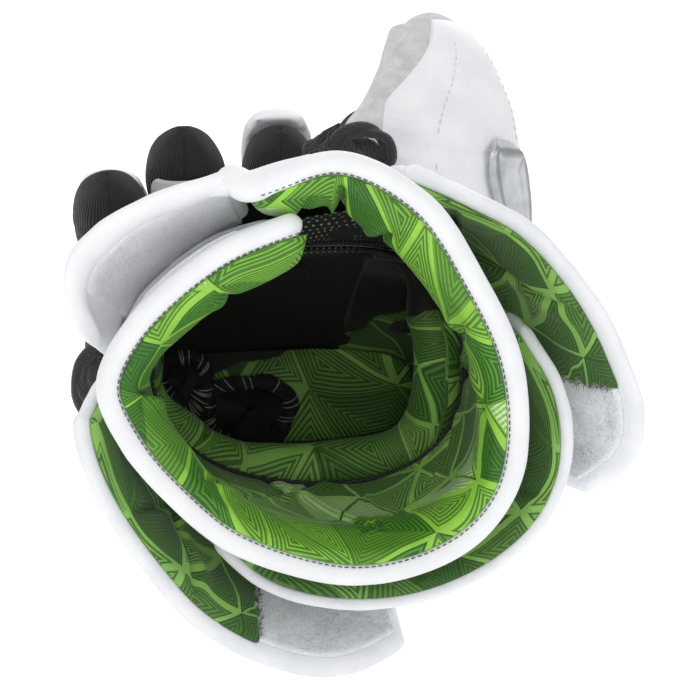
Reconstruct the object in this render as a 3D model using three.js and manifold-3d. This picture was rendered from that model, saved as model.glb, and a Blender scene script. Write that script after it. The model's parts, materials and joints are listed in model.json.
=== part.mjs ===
// A padded right-hand stick glove, lying on its back with the palm up and the fingers curled, in millimetres.
// Origin: the centre of the wrist opening. +Y runs from the wrist opening to the fingers, +Z out of the palm,
// and +X to the thumb side. Each segment of a finger or the thumb turns about the X axis of its joint group.
import * as THREE from "three";
import { mergeVertices } from "three/addons/utils/BufferGeometryUtils.js";
import Module from "manifold-3d";

const wasm = await Module();
wasm.setup();

// Wrist and cuff, along Y.
const COLLAR_LENGTH = 56; // the inner wrist collar runs from Y 0 to here
const ELASTIC_WIDTH = 3; // stretch band sewn to the collar's inner end
const ELASTIC_THICKNESS = 2.4;
const WRIST_Y = 60; // the wrist fold, between everything on the cuff side and everything on the hand side
const WRIST_Z = -20;
const PANEL_ROOT_Y = 58; // the outer cuff panels are sewn down here
const FOAM = [8, 4]; // collar cover and foam, thick at the rolled rim and thin at the wrist
const LINING = 2; // green knitted lining
const PANEL = 4.4; // outer cuff panel thickness
const GAP = 0.4; // between neighbouring layers

// Hand.
const HAND_END_Y = 148; // the knuckle fold is 4 mm further
const HAND_FLOOR = -62; // inside of the back of the hand
const WALL = 3; // lining wall of the hand
const PALM_LOW = -38; // inside of the palm at the knuckles
const PALM_HIGH = 16; // inside of the palm at the wrist
const HAND_HALF_WIDTH = 57;
const HAND_CENTRE_X = -3;
const BACK_PAD = 16; // foam blocks on the back of the hand
const CARRIER = 2;
const PLATE = 1.6;

// Fingers: proximal, middle and tip lengths, and how the chain is set in the hand.
const FINGER_HALF_WIDTH = 12.4;
const FINGER_DEPTH = 22; // stall, palm side to back
const FINGER_PAD = 15;
const FINGER_Z = -46; // palm-side surface of the stalls at the knuckle fold
const KNUCKLE_BEND = 36;
const MIDDLE_BEND = 48;
const TIP_BEND = 30;
const FINGERS = [
  { name: "little", x: -48.5, y: 151, lean: -5, lengths: [35, 21, 24] },
  { name: "ring", x: -18, y: 153, lean: -3, lengths: [42, 26, 27] },
  { name: "middle", x: 12.5, y: 154, lean: -1, lengths: [43, 27, 27] },
  { name: "index", x: 43, y: 152, lean: 1, lengths: [42, 27, 27] },
];

// Thumb.
const THUMB_BASE = [56, 118, -5]; // middle of the stall at the base joint
const THUMB_RISE = 82; // degrees from the hand's axis towards the palm's normal
const THUMB_ROLL = -145; // turned so that it faces the fingers
const THUMB_TILT = 5; // to its own side
const THUMB_LENGTHS = [42, 45];
const THUMB_HALF_WIDTH = 13;
const THUMB_DEPTH = 24;
const THUMB_TIP_BEND = 10;

const rad = THREE.MathUtils.degToRad;
const lerp = THREE.MathUtils.lerp;

const finish = (color, roughness, metalness = 0) => ({ color, roughness, metalness });
const WHITE = finish(0xf1f2f4, 0.55);
const SCUFFED_WHITE = finish(0xe9eaec, 0.6);
const GREEN = finish(0x4c9a22, 0.85);
const BLACK_KNIT = finish(0x17171a, 0.9);
const GREY_SUEDE = finish(0xc9c9c5, 0.8);
const LOOP_PILE = finish(0xd5d8dc, 0.95);
const CORD = finish(0x1c1a1b, 0.7);
const GUARD = finish(0xc3c7ca, 0.3);
const POLYTHENE = finish(0xdedfe0, 0.5);

function group(...members) {
  const g = new THREE.Group();
  g.add(...members);
  return g;
}

function piece(name, geometry, look) {
  const mesh = new THREE.Mesh(geometry, new THREE.MeshStandardMaterial(look));
  mesh.name = name;
  return mesh;
}

// A copy of a geometry with its positions and faces only.
function bareCopy(geometry) {
  const bare = new THREE.BufferGeometry();
  bare.setAttribute("position", geometry.getAttribute("position").clone());
  bare.setIndex(geometry.index ? geometry.index.clone() : null);
  return bare;
}

// Moves every corner of a geometry to place(x, y, z), then turns the faces outwards if that mirrored them.
function warp(geometry, place) {
  const bare = bareCopy(geometry);
  const position = bare.getAttribute("position");
  for (let i = 0; i < position.count; i++)
    position.setXYZ(i, ...place(position.getX(i), position.getY(i), position.getZ(i)));
  const merged = mergeVertices(bare, 1e-3);
  if (signedVolume(merged) < 0) flip(merged);
  merged.computeVertexNormals();
  return merged;
}

function signedVolume(geometry) {
  const [p, index] = [geometry.getAttribute("position"), geometry.index];
  const corner = [new THREE.Vector3(), new THREE.Vector3(), new THREE.Vector3()];
  let six = 0;
  for (let i = 0; i < index.count; i += 3) {
    corner.forEach((c, k) => c.fromBufferAttribute(p, index.getX(i + k)));
    six += corner[0].dot(corner[1].cross(corner[2]));
  }
  return six / 6;
}

function flip(geometry) {
  const index = geometry.index;
  for (let i = 0; i < index.count; i += 3) {
    const first = index.getX(i);
    index.setX(i, index.getX(i + 1));
    index.setX(i + 1, first);
  }
}

// A sheet with thickness: place(u, v, w) for u, v and w from 0 to 1, with w through the thickness.
function sheet(nu, nv, place) {
  const cube = new THREE.BoxGeometry(1, 1, 1, nu, nv, 1);
  return warp(cube, (x, y, z) => place(x + 0.5, y + 0.5, z + 0.5));
}

// A closed tube wall: place(angle, v, w) with v from 0 to 1 along the tube, and w 0 inside and 1 outside.
function tubeWall(around, place) {
  const profile = [[1, 0], [2, 0], [2, 1], [1, 1], [1, 0]].map(([r, v]) => new THREE.Vector2(r, v));
  return warp(new THREE.LatheGeometry(profile, around), (x, y, z) =>
    place(Math.atan2(x, z), y, Math.hypot(x, z) - 1));
}

// A point at an angle on a rounded box outline of half sizes a and b. A higher power makes it squarer.
function rounded(angle, a, b, power = 3) {
  const [c, s] = [Math.sin(angle), Math.cos(angle)];
  const r = (Math.abs(c) ** power + Math.abs(s) ** power) ** (-1 / power);
  return [a * r * c, b * r * s];
}

// ---- Cuff panels and collar: sheets between a rim curve and a root curve, given as [x, z] points ----

const curveOf = (points) =>
  new THREE.CatmullRomCurve3(points.map(([x, z]) => new THREE.Vector3(x, 0, z)), false, "centripetal");

// The point at share u of a curve, and the curve's normal there.
function onCurve(curve, u) {
  const p = curve.getPointAt(u);
  const t = curve.getTangentAt(u);
  return { p, n: new THREE.Vector3(-t.z, 0, t.x) };
}

// A size that is a number, or that runs from a rim value to a root value.
const at = (size, share) => (Array.isArray(size) ? lerp(...size, share) : size);
const deeper = (size, by) => (Array.isArray(size) ? size.map((s) => s + by) : size + by);

// A layer of a panel, from depth `from` to depth `to` below the panel's outer surface. side is 1 or -1, so
// that the outward direction points out of the cuff. The near edge starts `inset` mm in from the panel's rim
// and curls back at both ends by `round` mm. span is the part of the rim's length that the layer covers.
function panelLayer(shape) {
  const { rim, root, rimY, rootY, side, round = [0, 0], from, to, span = [0, 1], inset = 0, steps } = shape;
  const [rimCurve, rootCurve] = [curveOf(rim), curveOf(root)];
  return sheet(steps, 3, (u, v, w) => {
    const s = lerp(...span, u);
    const [near, far] = [onCurve(rimCurve, s), onCurve(rootCurve, s)];
    const curl = s < 0.5 ? round[0] * (1 - 2 * s) ** 5 : round[1] * (2 * s - 1) ** 5;
    const y = lerp(rimY + curl + inset, rootY, v);
    const share = (y - rimY) / (rootY - rimY);
    const n = near.n.clone().lerp(far.n, share).normalize();
    const depth = lerp(at(from, share), at(to, share), w);
    const out = near.p.clone().lerp(far.p, share).addScaledVector(n, -side * depth);
    return [out.x, y, out.z];
  });
}

// The collar is a strip that starts under its own other end, runs round the little-finger side, the back and
// the thumb side, and finishes over the start.
const COLLAR = {
  rim: [[-4, 46], [-30, 35], [-55, 13], [-63, -5], [-56, -24], [-42, -42], [-25, -57], [8, -69], [31, -67],
    [49, -58], [60, -44], [64, -25], [61, 0], [50, 24], [33, 49], [8, 62], [-20, 55]],
  root: [[-4, 30], [-25, 25], [-43, 11], [-50, -6], [-50, -22], [-42, -40], [-24, -54], [8, -61], [31, -59],
    [47, -51], [57, -38], [60, -22], [58, 0], [49, 20], [33, 37], [12, 46], [-12, 45]],
  rimY: 0,
  rootY: COLLAR_LENGTH,
  side: -1,
};

const BACK_PANEL = {
  rim: [[72, -1], [79, -12], [81, -25], [79, -42], [71, -58], [56, -71], [33, -80], [6, -81], [-16, -76],
    [-28, -68]],
  root: [[70, 0], [71, -10], [71, -23], [69, -37], [61, -50], [47, -61], [28, -68], [6, -71], [-14, -68],
    [-28, -62]],
  rimY: 12,
  rootY: PANEL_ROOT_Y,
  side: 1,
  round: [26, 20],
};

const THUMB_WING = {
  rim: [[34, 54], [51, 45], [67, 36], [81, 22], [91, 8], [99, -8], [105, -24], [105, -40], [96, -54]],
  root: [[32, 53], [48, 45], [62, 33], [72, 20], [79, 6], [83, -8], [85, -22], [84, -39], [77, -55]],
  rimY: 20,
  rootY: PANEL_ROOT_Y,
  side: 1,
  round: [14, 10],
};
const THUMB_WING_LINED = 0.7; // share of the wing that is lined; the rest is the loop tab

const LITTLE_WING = {
  rim: [[-69, -6], [-70, -15], [-69, -28], [-62, -47], [-50, -67], [-35, -86], [-16, -99], [8, -107],
    [32, -105]],
  root: [[-61, -4], [-61, -15], [-59, -28], [-54, -43], [-45, -57], [-32, -71], [-15, -83], [7, -89],
    [30, -88]],
  rimY: 18,
  rootY: PANEL_ROOT_Y,
  side: -1,
  round: [10, 10],
};
const LITTLE_WING_LINED = 0.68;

const CLOSURE = {
  rim: [[-22, 57], [-36, 53.5], [-49, 49], [-60, 43], [-69, 34], [-72, 23], [-69, 11]],
  root: [[-17, 46], [-28, 39.5], [-39, 31], [-49, 20.5], [-56, 11], [-59.5, 3], [-61, -4]],
  rimY: 4,
  rootY: 46,
  side: -1,
  round: [0, 16],
};

const PATCH = 1.6; // thickness of a hook or loop patch
const FACING = { from: -GAP - PATCH, to: -GAP, inset: 6 }; // a patch on a panel's outside

function collar() {
  const lining = { ...COLLAR, from: deeper(FOAM, GAP), to: deeper(FOAM, GAP + LINING), inset: 3, steps: 40 };
  const underlap = { ...COLLAR, ...FACING, span: [0.045, 0.13], steps: 5 };
  const elastic = tubeWall(24, (angle, v, w) => {
    const stretch = ELASTIC_THICKNESS * w;
    const [x, z] = rounded(angle, 50 + stretch, 41 + stretch, 2.4);
    return [x + 5, COLLAR_LENGTH + GAP + v * ELASTIC_WIDTH, z - 11];
  });
  return group(
    piece("collar_band", panelLayer({ ...COLLAR, from: 0, to: FOAM, steps: 40 }), WHITE),
    piece("collar_lining", panelLayer(lining), GREEN),
    piece("underlap_hook_patch", panelLayer(underlap), LOOP_PILE),
    piece("collar_elastic", elastic, BLACK_KNIT),
  );
}

function closure() {
  const TAB = 4; // thickness
  const under = { from: TAB + GAP, to: TAB + GAP + PATCH };
  const patch = { ...CLOSURE, ...under, inset: 5, span: [0.08, 0.94], steps: 12 };
  return group(
    piece("closure_tab", panelLayer({ ...CLOSURE, from: 0, to: TAB, steps: 12 }), WHITE),
    piece("closure_loop_patch", panelLayer(patch), LOOP_PILE),
  );
}

// A panel and its lining, with a loop patch on the part that the lining leaves bare.
function linedPanel(name, shape, lined) {
  const inner = { ...shape, from: PANEL + GAP, to: PANEL + GAP + LINING, inset: 2.5 };
  const body = group(
    piece(name, panelLayer({ ...shape, from: 0, to: PANEL, steps: 16 }), WHITE),
    piece(`${name}_lining`, panelLayer({ ...inner, span: [0.01, lined - 0.01], steps: 14 }), GREEN),
  );
  const loop = { ...inner, to: PANEL + GAP + PATCH, span: [lined, 0.98], steps: 6 };
  if (lined < 1) body.add(piece(`${name}_loop`, panelLayer(loop), LOOP_PILE));
  return body;
}

// The back panel carries hook patches on its outside, where the wings' loop tabs press on.
function backPanel() {
  const body = linedPanel("cuff_back", BACK_PANEL, 1);
  const facing = { ...BACK_PANEL, ...FACING, steps: 4 };
  body.add(
    piece("cuff_back_hook_thumb", panelLayer({ ...facing, span: [0.12, 0.26] }), LOOP_PILE),
    piece("cuff_back_hook_little", panelLayer({ ...facing, span: [0.76, 0.92] }), LOOP_PILE),
  );
  return body;
}

// ---- Hand ----

// Inside of the hand at share v from the wrist fold to the knuckles: half sizes and centre height.
function handSection(v) {
  const ease = v * v * (3 - 2 * v);
  const low = HAND_FLOOR + 5 * (1 - Math.min(1, 4 * v)) ** 2;
  const high = lerp(PALM_HIGH, PALM_LOW, ease);
  return { half: lerp(47, HAND_HALF_WIDTH - WALL, ease), low, high, x: lerp(6, HAND_CENTRE_X, ease) };
}

// The wrist end of the hand is cut back above and below the fold, so that the wrist can bend both ways.
const WRIST_SLOPE = Math.tan(rad(11));
const wristEndAt = (z) => WRIST_Y + 2 + WRIST_SLOPE * Math.abs(z - WRIST_Z);

function handPoint(angle, v, out) {
  const { half, low, high, x } = handSection(v);
  const [dx, dz] = rounded(angle, half + out, (high - low) / 2 + out, 3.2);
  const z = (high + low) / 2 + dz;
  return [x + dx, lerp(wristEndAt(z), HAND_END_Y, v), z];
}

const HAND_STEPS = 8;
const HAND_AROUND = 28;

function handLining() {
  const profile = [];
  for (let i = 0; i <= HAND_STEPS; i++) profile.push(new THREE.Vector2(1, i / HAND_STEPS));
  for (let i = HAND_STEPS; i >= 0; i--) profile.push(new THREE.Vector2(2, i / HAND_STEPS));
  profile.push(profile[0].clone());
  const wall = new THREE.LatheGeometry(profile, HAND_AROUND);
  return warp(wall, (x, y, z) => handPoint(Math.atan2(x, z), y, WALL * (Math.hypot(x, z) - 1)));
}

function solidOf(geometry) {
  const merged = mergeVertices(bareCopy(geometry), 1e-3);
  return new wasm.Manifold(new wasm.Mesh({
    numProp: 3,
    vertProperties: merged.getAttribute("position").array,
    triVerts: new Uint32Array(merged.index.array),
  }));
}

function geometryOf(solid) {
  const mesh = solid.getMesh();
  const geometry = new THREE.BufferGeometry();
  geometry.setAttribute("position", new THREE.BufferAttribute(mesh.vertProperties, 3));
  geometry.setIndex(new THREE.BufferAttribute(mesh.triVerts, 1));
  geometry.computeVertexNormals();
  return geometry;
}

// The wall between the hand and the finger stalls, with one hole to each finger. It stands at ENTRY_Y, where
// the hand's section is that at share ENTRY_V.
const ENTRY_V = 0.72;
const ENTRY_Y = 124;
const ENTRY_HOLE = 10; // radius
function fingerEntry() {
  const { low, high } = handSection(ENTRY_V);
  const disc = new THREE.CylinderGeometry(1, 1, 1, HAND_AROUND, 1);
  const plate = warp(disc, (x, y, z) => {
    const [rimX, , rimZ] = handPoint(Math.atan2(x, z), ENTRY_V, -1.5);
    const r = Math.hypot(x, z);
    return [r * rimX, ENTRY_Y + 2 * y, lerp((low + high) / 2, rimZ, r)];
  });
  const drill = new THREE.CylinderGeometry(ENTRY_HOLE, ENTRY_HOLE, 8, 16, 1);
  const holes = FINGERS.map((f) =>
    solidOf(warp(drill, (x, y, z) => [0.82 * f.x + x, ENTRY_Y + y, (low + high) / 2 - 0.65 + z])));
  return geometryOf(holes.reduce((wall, hole) => wall.subtract(hole), solidOf(plate)));
}

// A sheet on the outside of the hand. around and along list its stations, counted in the lining's own facets:
// around from the palm's middle to the thumb side, along from the wrist.
function handCover(name, look, around, along, from, to) {
  const [nu, nv] = [around.length - 1, along.length - 1];
  const cover = sheet(nu, nv, (u, v, w) => {
    const angle = (around[Math.round(u * nu)] * 2 * Math.PI) / HAND_AROUND;
    return handPoint(angle, along[Math.round(v * nv)] / HAND_STEPS, WALL + lerp(from, to, w));
  });
  return piece(name, cover, look);
}
const PALM_STATIONS = [-5, -4, -3, -2, -1, 0, 1, 2, 3, 4, 5];

// Back of the hand: a carrier sheet, a plastic plate and five foam blocks, all flat underneath.
const BACK_TOP = HAND_FLOOR - WALL - GAP;
const PAD_TOP = BACK_TOP - CARRIER - PLATE - 2 * GAP;

// A block with rounded corners, from x0 to x1 and y0 to y1, hanging down from z.
function block(x0, x1, y0, y1, z, height, corner = 6, bevel = 0) {
  const s = new THREE.Shape();
  const [w, l] = [(x1 - x0) / 2 - bevel, (y1 - y0) / 2 - bevel];
  corner = Math.min(corner, l - 0.5);
  s.moveTo(-w + corner, -l);
  s.lineTo(w - corner, -l);
  s.absarc(w - corner, -l + corner, corner, -Math.PI / 2, 0);
  s.absarc(w - corner, l - corner, corner, 0, Math.PI / 2);
  s.absarc(-w + corner, l - corner, corner, Math.PI / 2, Math.PI);
  s.absarc(-w + corner, -l + corner, corner, Math.PI, 1.5 * Math.PI);
  const edge = { bevelEnabled: bevel > 0, bevelThickness: bevel, bevelSize: bevel, bevelSegments: 1 };
  const g = new THREE.ExtrudeGeometry(s, { depth: height - 2 * bevel, curveSegments: 3, ...edge });
  const centre = [(x0 + x1) / 2, (y0 + y1) / 2, z - height + bevel];
  return warp(g, (x, y, up) => [x + centre[0], y + centre[1], up + centre[2]]);
}

const BACK_BLOCKS = [
  ["back_pad_wrist", -46, 42, 74, 92],
  ["back_pad_little_side", -53, -4.5, 94.5, 119],
  ["back_pad_thumb_side", -1.5, 48, 94.5, 119],
  ["knuckle_pad_little_side", -56, -4.5, 121.5, 147],
  ["knuckle_pad_thumb_side", -1.5, 52, 121.5, 147],
];

// A cord with a round section through the given points.
function cord(points, radius) {
  const path = new THREE.CatmullRomCurve3(points.map((p) => new THREE.Vector3(...p)));
  const section = new THREE.Shape();
  section.absarc(0, 0, radius, 0, 2 * Math.PI);
  const settings = { steps: 22, curveSegments: 3, bevelEnabled: false, extrudePath: path };
  return warp(new THREE.ExtrudeGeometry(section, settings), (x, y, z) => [x, y, z]);
}

// Tied cords at the heel of the palm, one at each side.
const LACE_THUMB_SIDE = [[10, 82, 30], [12, 80, 44], [19, 78, 53], [31, 78, 52], [35, 80, 44], [25, 83, 40],
  [21, 85, 31], [28, 87, 27], [38, 87, 33]];
const LACE_LITTLE_SIDE = [[-60, 81, -38], [-66, 80, -36], [-69, 79, -26], [-67, 79, -14], [-61, 81, -9],
  [-57, 84, -14], [-60, 87, -22]];

function hand() {
  const carrier = block(-53, 48, WRIST_Y + 13, HAND_END_Y, BACK_TOP, CARRIER);
  const plate = block(-42, 37, WRIST_Y + 30, HAND_END_Y - 6, BACK_TOP - CARRIER - GAP, PLATE);
  return group(
    piece("hand_lining", handLining(), GREEN),
    piece("finger_entry", fingerEntry(), BLACK_KNIT),
    handCover("palm_mesh", BLACK_KNIT, PALM_STATIONS, [0, 1, 1.94], 0.6, 2.2),
    handCover("palm_leather", GREY_SUEDE, PALM_STATIONS, [2.06, 3, 4, 5, 6, 7, 8], 0.8, 2.8),
    handCover("edge_pad", WHITE, [-9, -8, -7, -6, -5.4], [1, 2, 3, 4, 5, 6, 7, 8], 0.6, 7),
    piece("back_carrier", carrier, SCUFFED_WHITE),
    piece("back_plate", plate, POLYTHENE),
    ...BACK_BLOCKS.map(([name, ...sides]) => piece(name, block(...sides, PAD_TOP, BACK_PAD, 7, 2.5), WHITE)),
    piece("lace_thumb_side", cord(LACE_THUMB_SIDE, 2.2), CORD),
    piece("lace_little_side", cord(LACE_LITTLE_SIDE, 2), CORD),
  );
}

// ---- Fingers ----

const TIP_STATIONS = [0, 0.4, 0.6, 0.75, 0.88, 1]; // shares of a tip's length where its outline has corners
const STALL_WALL = 1.6;

// The width of a tip at share t of its length, as a share of the width at its joint.
const tipWidth = (t, power) => Math.sqrt(1 - (t / 1.08) ** power);

// A stall segment: an oval sleeve along Y with its palm-side surface at Z 0. A power above 0 closes the far
// end, and the width falls off there with that power.
function stall(halfWidth, depth, start, length, power = 0) {
  const stations = power ? TIP_STATIONS : [0, 1];
  const width = (t) => (power ? tipWidth(t, power) : 1);
  const inside = power ? length - STALL_WALL : length;
  const outer = stations.map((t) => [width(t), lerp(start, length, t)]);
  const inner = stations.map((t) => [width(t) - STALL_WALL / halfWidth, lerp(start, inside, t)]);
  const end = power ? [[0, length + 0.6], [0, inside + 0.4]] : [];
  const profile = [...outer, ...end, ...inner.reverse(), outer[0]].map(([r, y]) => new THREE.Vector2(r, y));
  const sleeve = new THREE.LatheGeometry(profile, 16);
  return warp(sleeve, (x, y, z) => [halfWidth * x, y, (depth / 2) * (z - 1)]);
}

// A padded shell that wraps the back and the sides of a stall: pad mm thick behind it, flank mm beside it.
// inner and outer give the width of the stall and of the padding at share t of the length.
function shell(halfWidth, depth, start, length, shape) {
  const { sides = 1.35, pad, flank, around = 8, stations = [0, 0.35, 0.7, 1] } = shape;
  const { inner = () => 1, outer = () => 1 } = shape;
  const steps = stations.length - 1;
  return sheet(around, steps, (u, along, w) => {
    const t = stations[Math.round(along * steps)];
    const a = halfWidth * inner(t) + GAP + flank * outer(t) * w;
    const b = (depth / 2) * inner(t) + GAP + pad * outer(t) * w;
    const [x, back] = rounded(lerp(-sides, sides, u), a, b, 2.5);
    return [x, lerp(start, length, t), -depth / 2 - back];
  });
}

function bent(degrees, y = 0) {
  const g = new THREE.Group();
  g.position.y = y;
  g.rotation.x = rad(degrees);
  return g;
}

const FINGERTIP = 5; // power of the fingertip's roundness
const THUMBTIP = 3;
const FOLD = 2; // each segment starts this far past its joint

const FINGER_SHELL = { pad: FINGER_PAD, flank: 1.6 };
const FINGERTIP_SHELL = {
  ...FINGER_SHELL,
  stations: TIP_STATIONS,
  inner: (t) => tipWidth(t, FINGERTIP),
  outer: (t) => 1 - 0.4 * t ** 3,
};

// A finger's stall and padding on each of its three segments, each segment hinged on its palm side.
function finger({ name, x, y, lean, lengths }) {
  const base = new THREE.Group();
  base.position.set(x, y, FINGER_Z);
  base.rotation.y = rad(lean);
  const joints = [bent(KNUCKLE_BEND), bent(MIDDLE_BEND, lengths[0]), bent(TIP_BEND, lengths[1])];
  base.add(joints[0]);
  joints[0].add(joints[1]);
  joints[1].add(joints[2]);
  const [w, d] = [FINGER_HALF_WIDTH, FINGER_DEPTH];
  ["proximal", "middle", "tip"].forEach((part, i) => {
    const last = i === 2;
    const sleeve = stall(w, d, FOLD, lengths[i] - (last ? 0 : FOLD), last ? FINGERTIP : 0);
    const padding = shell(w, d, FOLD, lengths[i] - (last ? 0 : 1.5), last ? FINGERTIP_SHELL : FINGER_SHELL);
    joints[i].name = `${name}_${part}_joint`;
    joints[i].add(
      piece(`${name}_${part}_stall`, sleeve, BLACK_KNIT),
      piece(`${name}_${part}_pad`, padding, WHITE),
    );
  });
  return base;
}

// ---- Thumb: two segments with a broad padded fin, turned to face the fingers ----

const FIN = { pad: 13, flank: 12, sides: 1.7, around: 12 };
const TIP_FIN = {
  ...FIN,
  stations: TIP_STATIONS,
  inner: (t) => tipWidth(t, THUMBTIP),
  outer: (t) => 1 - 0.75 * t ** 1.5,
};
const GUARD_THICKNESS = 2;

// The guard is a moulded strip across the back of the thumb's base, just below its joint.
function thumbGuard() {
  const [a, b] = [THUMB_HALF_WIDTH + FIN.flank, THUMB_DEPTH / 2 + FIN.pad].map((size) => size + GAP + 0.6);
  return sheet(6, 4, (u, v, w) => {
    const out = GUARD_THICKNESS * w;
    const [x, back] = rounded(lerp(-0.55, 0.48, u), a + out, b + out, 2.5);
    return [x, lerp(17, 39.5, v), -THUMB_DEPTH / 2 - back];
  });
}

// Suede on the palm side of the thumb's tip.
function thumbGrip() {
  const half = THUMB_HALF_WIDTH - 4;
  return sheet(6, 4, (u, v, w) => [lerp(-half, half, u), lerp(5, 0.6 * THUMB_LENGTHS[1], v), 0.5 + 1.6 * w]);
}

// The base joint turns about the middle of the stall, and the tip joint about its palm side.
function thumb() {
  const base = new THREE.Group();
  base.name = "thumb_base_joint";
  base.position.set(...THUMB_BASE);
  base.rotation.set(rad(THUMB_RISE), rad(THUMB_ROLL), rad(THUMB_TILT));
  const lower = new THREE.Group();
  lower.position.z = THUMB_DEPTH / 2;
  const tip = bent(THUMB_TIP_BEND, THUMB_LENGTHS[0]);
  tip.name = "thumb_tip_joint";
  base.add(lower);
  lower.add(tip);
  const [w, d] = [THUMB_HALF_WIDTH, THUMB_DEPTH];
  const [lowerLength, tipLength] = THUMB_LENGTHS;
  lower.add(
    piece("thumb_base_stall", stall(w, d, FOLD + 1, lowerLength - FOLD), BLACK_KNIT),
    piece("thumb_base_pad", shell(w, d, FOLD + 1, lowerLength - 1.5, FIN), WHITE),
    piece("thumb_guard", thumbGuard(), GUARD),
  );
  tip.add(
    piece("thumb_tip_stall", stall(w, d, FOLD, tipLength, THUMBTIP), BLACK_KNIT),
    piece("thumb_tip_pad", shell(w, d, FOLD, tipLength, TIP_FIN), WHITE),
    piece("thumb_grip", thumbGrip(), GREY_SUEDE),
  );
  return base;
}

const glove = group(
  collar(),
  closure(),
  backPanel(),
  linedPanel("cuff_thumb_wing", THUMB_WING, THUMB_WING_LINED),
  linedPanel("cuff_little_wing", LITTLE_WING, LITTLE_WING_LINED),
  hand(),
  ...FINGERS.map(finger),
  thumb(),
);

// The part's own origin is the bottom centre of its box.
glove.updateMatrixWorld(true);
const extent = new THREE.Box3().setFromObject(glove, true);
const middle = extent.getCenter(new THREE.Vector3());
glove.position.set(-middle.x, -middle.y, -extent.min.z);

export default glove;
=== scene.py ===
"""The glove's visual model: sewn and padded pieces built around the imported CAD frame.

Shapes are worked out in millimetres in the glove's own frame (origin at the centre of the wrist
opening, +Y to the fingers, +Z out of the palm, +X to the thumb side) and turned into the row frame
when each piece is made.
"""
import json
import math

import bpy
import numpy as np
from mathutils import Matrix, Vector


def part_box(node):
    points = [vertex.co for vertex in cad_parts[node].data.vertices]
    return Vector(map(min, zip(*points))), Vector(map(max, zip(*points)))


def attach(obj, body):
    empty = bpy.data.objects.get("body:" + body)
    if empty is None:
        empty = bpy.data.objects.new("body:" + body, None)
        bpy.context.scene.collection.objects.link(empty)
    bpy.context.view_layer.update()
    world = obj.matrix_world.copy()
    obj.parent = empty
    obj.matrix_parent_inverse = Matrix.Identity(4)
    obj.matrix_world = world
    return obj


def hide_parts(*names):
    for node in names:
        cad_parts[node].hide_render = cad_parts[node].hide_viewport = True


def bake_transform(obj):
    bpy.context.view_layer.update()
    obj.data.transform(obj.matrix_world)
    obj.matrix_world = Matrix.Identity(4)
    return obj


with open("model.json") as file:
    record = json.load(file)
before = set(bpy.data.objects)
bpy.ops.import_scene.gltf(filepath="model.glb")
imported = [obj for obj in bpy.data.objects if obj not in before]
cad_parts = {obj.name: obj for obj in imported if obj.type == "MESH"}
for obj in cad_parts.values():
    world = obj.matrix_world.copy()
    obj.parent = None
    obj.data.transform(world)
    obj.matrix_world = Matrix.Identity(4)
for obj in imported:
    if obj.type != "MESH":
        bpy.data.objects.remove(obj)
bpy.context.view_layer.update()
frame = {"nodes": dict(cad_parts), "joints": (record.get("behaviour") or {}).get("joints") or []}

MM = 0.001
JOINTS = {joint["name"]: joint for joint in frame["joints"]}
WRIST_FOLD = np.array((0.0, 60.0, -20.0))
ORIGIN = np.array(JOINTS["wrist_flex"]["pos_m"]) - WRIST_FOLD * MM
FLOOR = -ORIGIN[2] / MM  # height of the floor in the glove's frame


def to_row(points):
    return np.asarray(points, float) * MM + ORIGIN


def to_glove(points):
    return (np.asarray(points, float) - ORIGIN) / MM


def joint_at(name):
    return to_glove(JOINTS[name]["pos_m"])


def unit(v):
    v = np.asarray(v, float)
    return v / np.linalg.norm(v, axis=-1, keepdims=True)


# ---- Smooth noise, the same on every run ----

TABLE_SIZE = 4096
TABLE = np.random.RandomState(11).rand(TABLE_SIZE)
HASH = (73856093, 19349663, 83492791)


def noise(points, scale, seed):
    """Smooth noise from -1 to 1, with features about `scale` mm across."""
    q = np.asarray(points, float) / scale + 31.7 * seed
    cell = np.floor(q).astype(np.int64)
    f = q - cell
    f = f * f * (3 - 2 * f)
    total = 0
    for dx, dy, dz in np.ndindex(2, 2, 2):
        key = ((cell[..., 0] + dx) * HASH[0] ^ (cell[..., 1] + dy) * HASH[1]
               ^ (cell[..., 2] + dz) * HASH[2])
        share = np.abs(1 - dx - f[..., 0]) * np.abs(1 - dy - f[..., 1]) * np.abs(1 - dz - f[..., 2])
        total = total + share * TABLE[key & (TABLE_SIZE - 1)]
    return 2 * total - 1


def ease(x, low, high):
    t = np.clip((np.asarray(x, float) - low) / (high - low), 0, 1)
    return t * t * (3 - 2 * t)


def bell(x, middle, width):
    return np.exp(-(((np.asarray(x, float) - middle) / width) ** 2))


def crown(distance, edge):
    """Height share of a rounded edge, `distance` mm in from a border that rounds over `edge` mm."""
    return np.sqrt(np.clip(1 - (1 - np.clip(distance / edge, 0, 1)) ** 2, 0, 1))


def both_ends(share, length, edge):
    """Height share at a share of `length` mm that rounds over `edge` mm at both ends."""
    return crown(np.minimum(share, 1 - share) * length, edge)


def rounded(angle, power):
    """Sine, cosine and the radius of a circle with squared-off sides (a superellipse) at an angle."""
    c, s = np.sin(angle), np.cos(angle)
    return c, s, (np.abs(c) ** power + np.abs(s) ** power) ** (-1 / power)


def full_turn(count):
    """Angles all the way round, without the last that would repeat the first."""
    return np.linspace(0, 2 * math.pi, count, endpoint=False)


def grid(a, b):
    return np.meshgrid(a, b, indexing="ij")


def run_along(points, axis=0):
    """Distance travelled along one axis of a line or grid of points."""
    steps = np.linalg.norm(np.diff(points, axis=axis), axis=-1)
    return np.concatenate((np.zeros_like(np.take(steps, [0], axis)), np.cumsum(steps, axis)), axis)


def spaced(length, step, edge):
    """Stations from 0 to length, closer together within `edge` of both ends."""
    near = np.array((0, 0.03, 0.12, 0.27, 0.5, 0.75)) * edge
    count = max(2, int(round((length - 2 * edge) / step)))
    middle = np.linspace(edge, length - edge, count + 1)
    return np.concatenate((near, middle, length - near[::-1]))


# ---- Meshes ----


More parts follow.
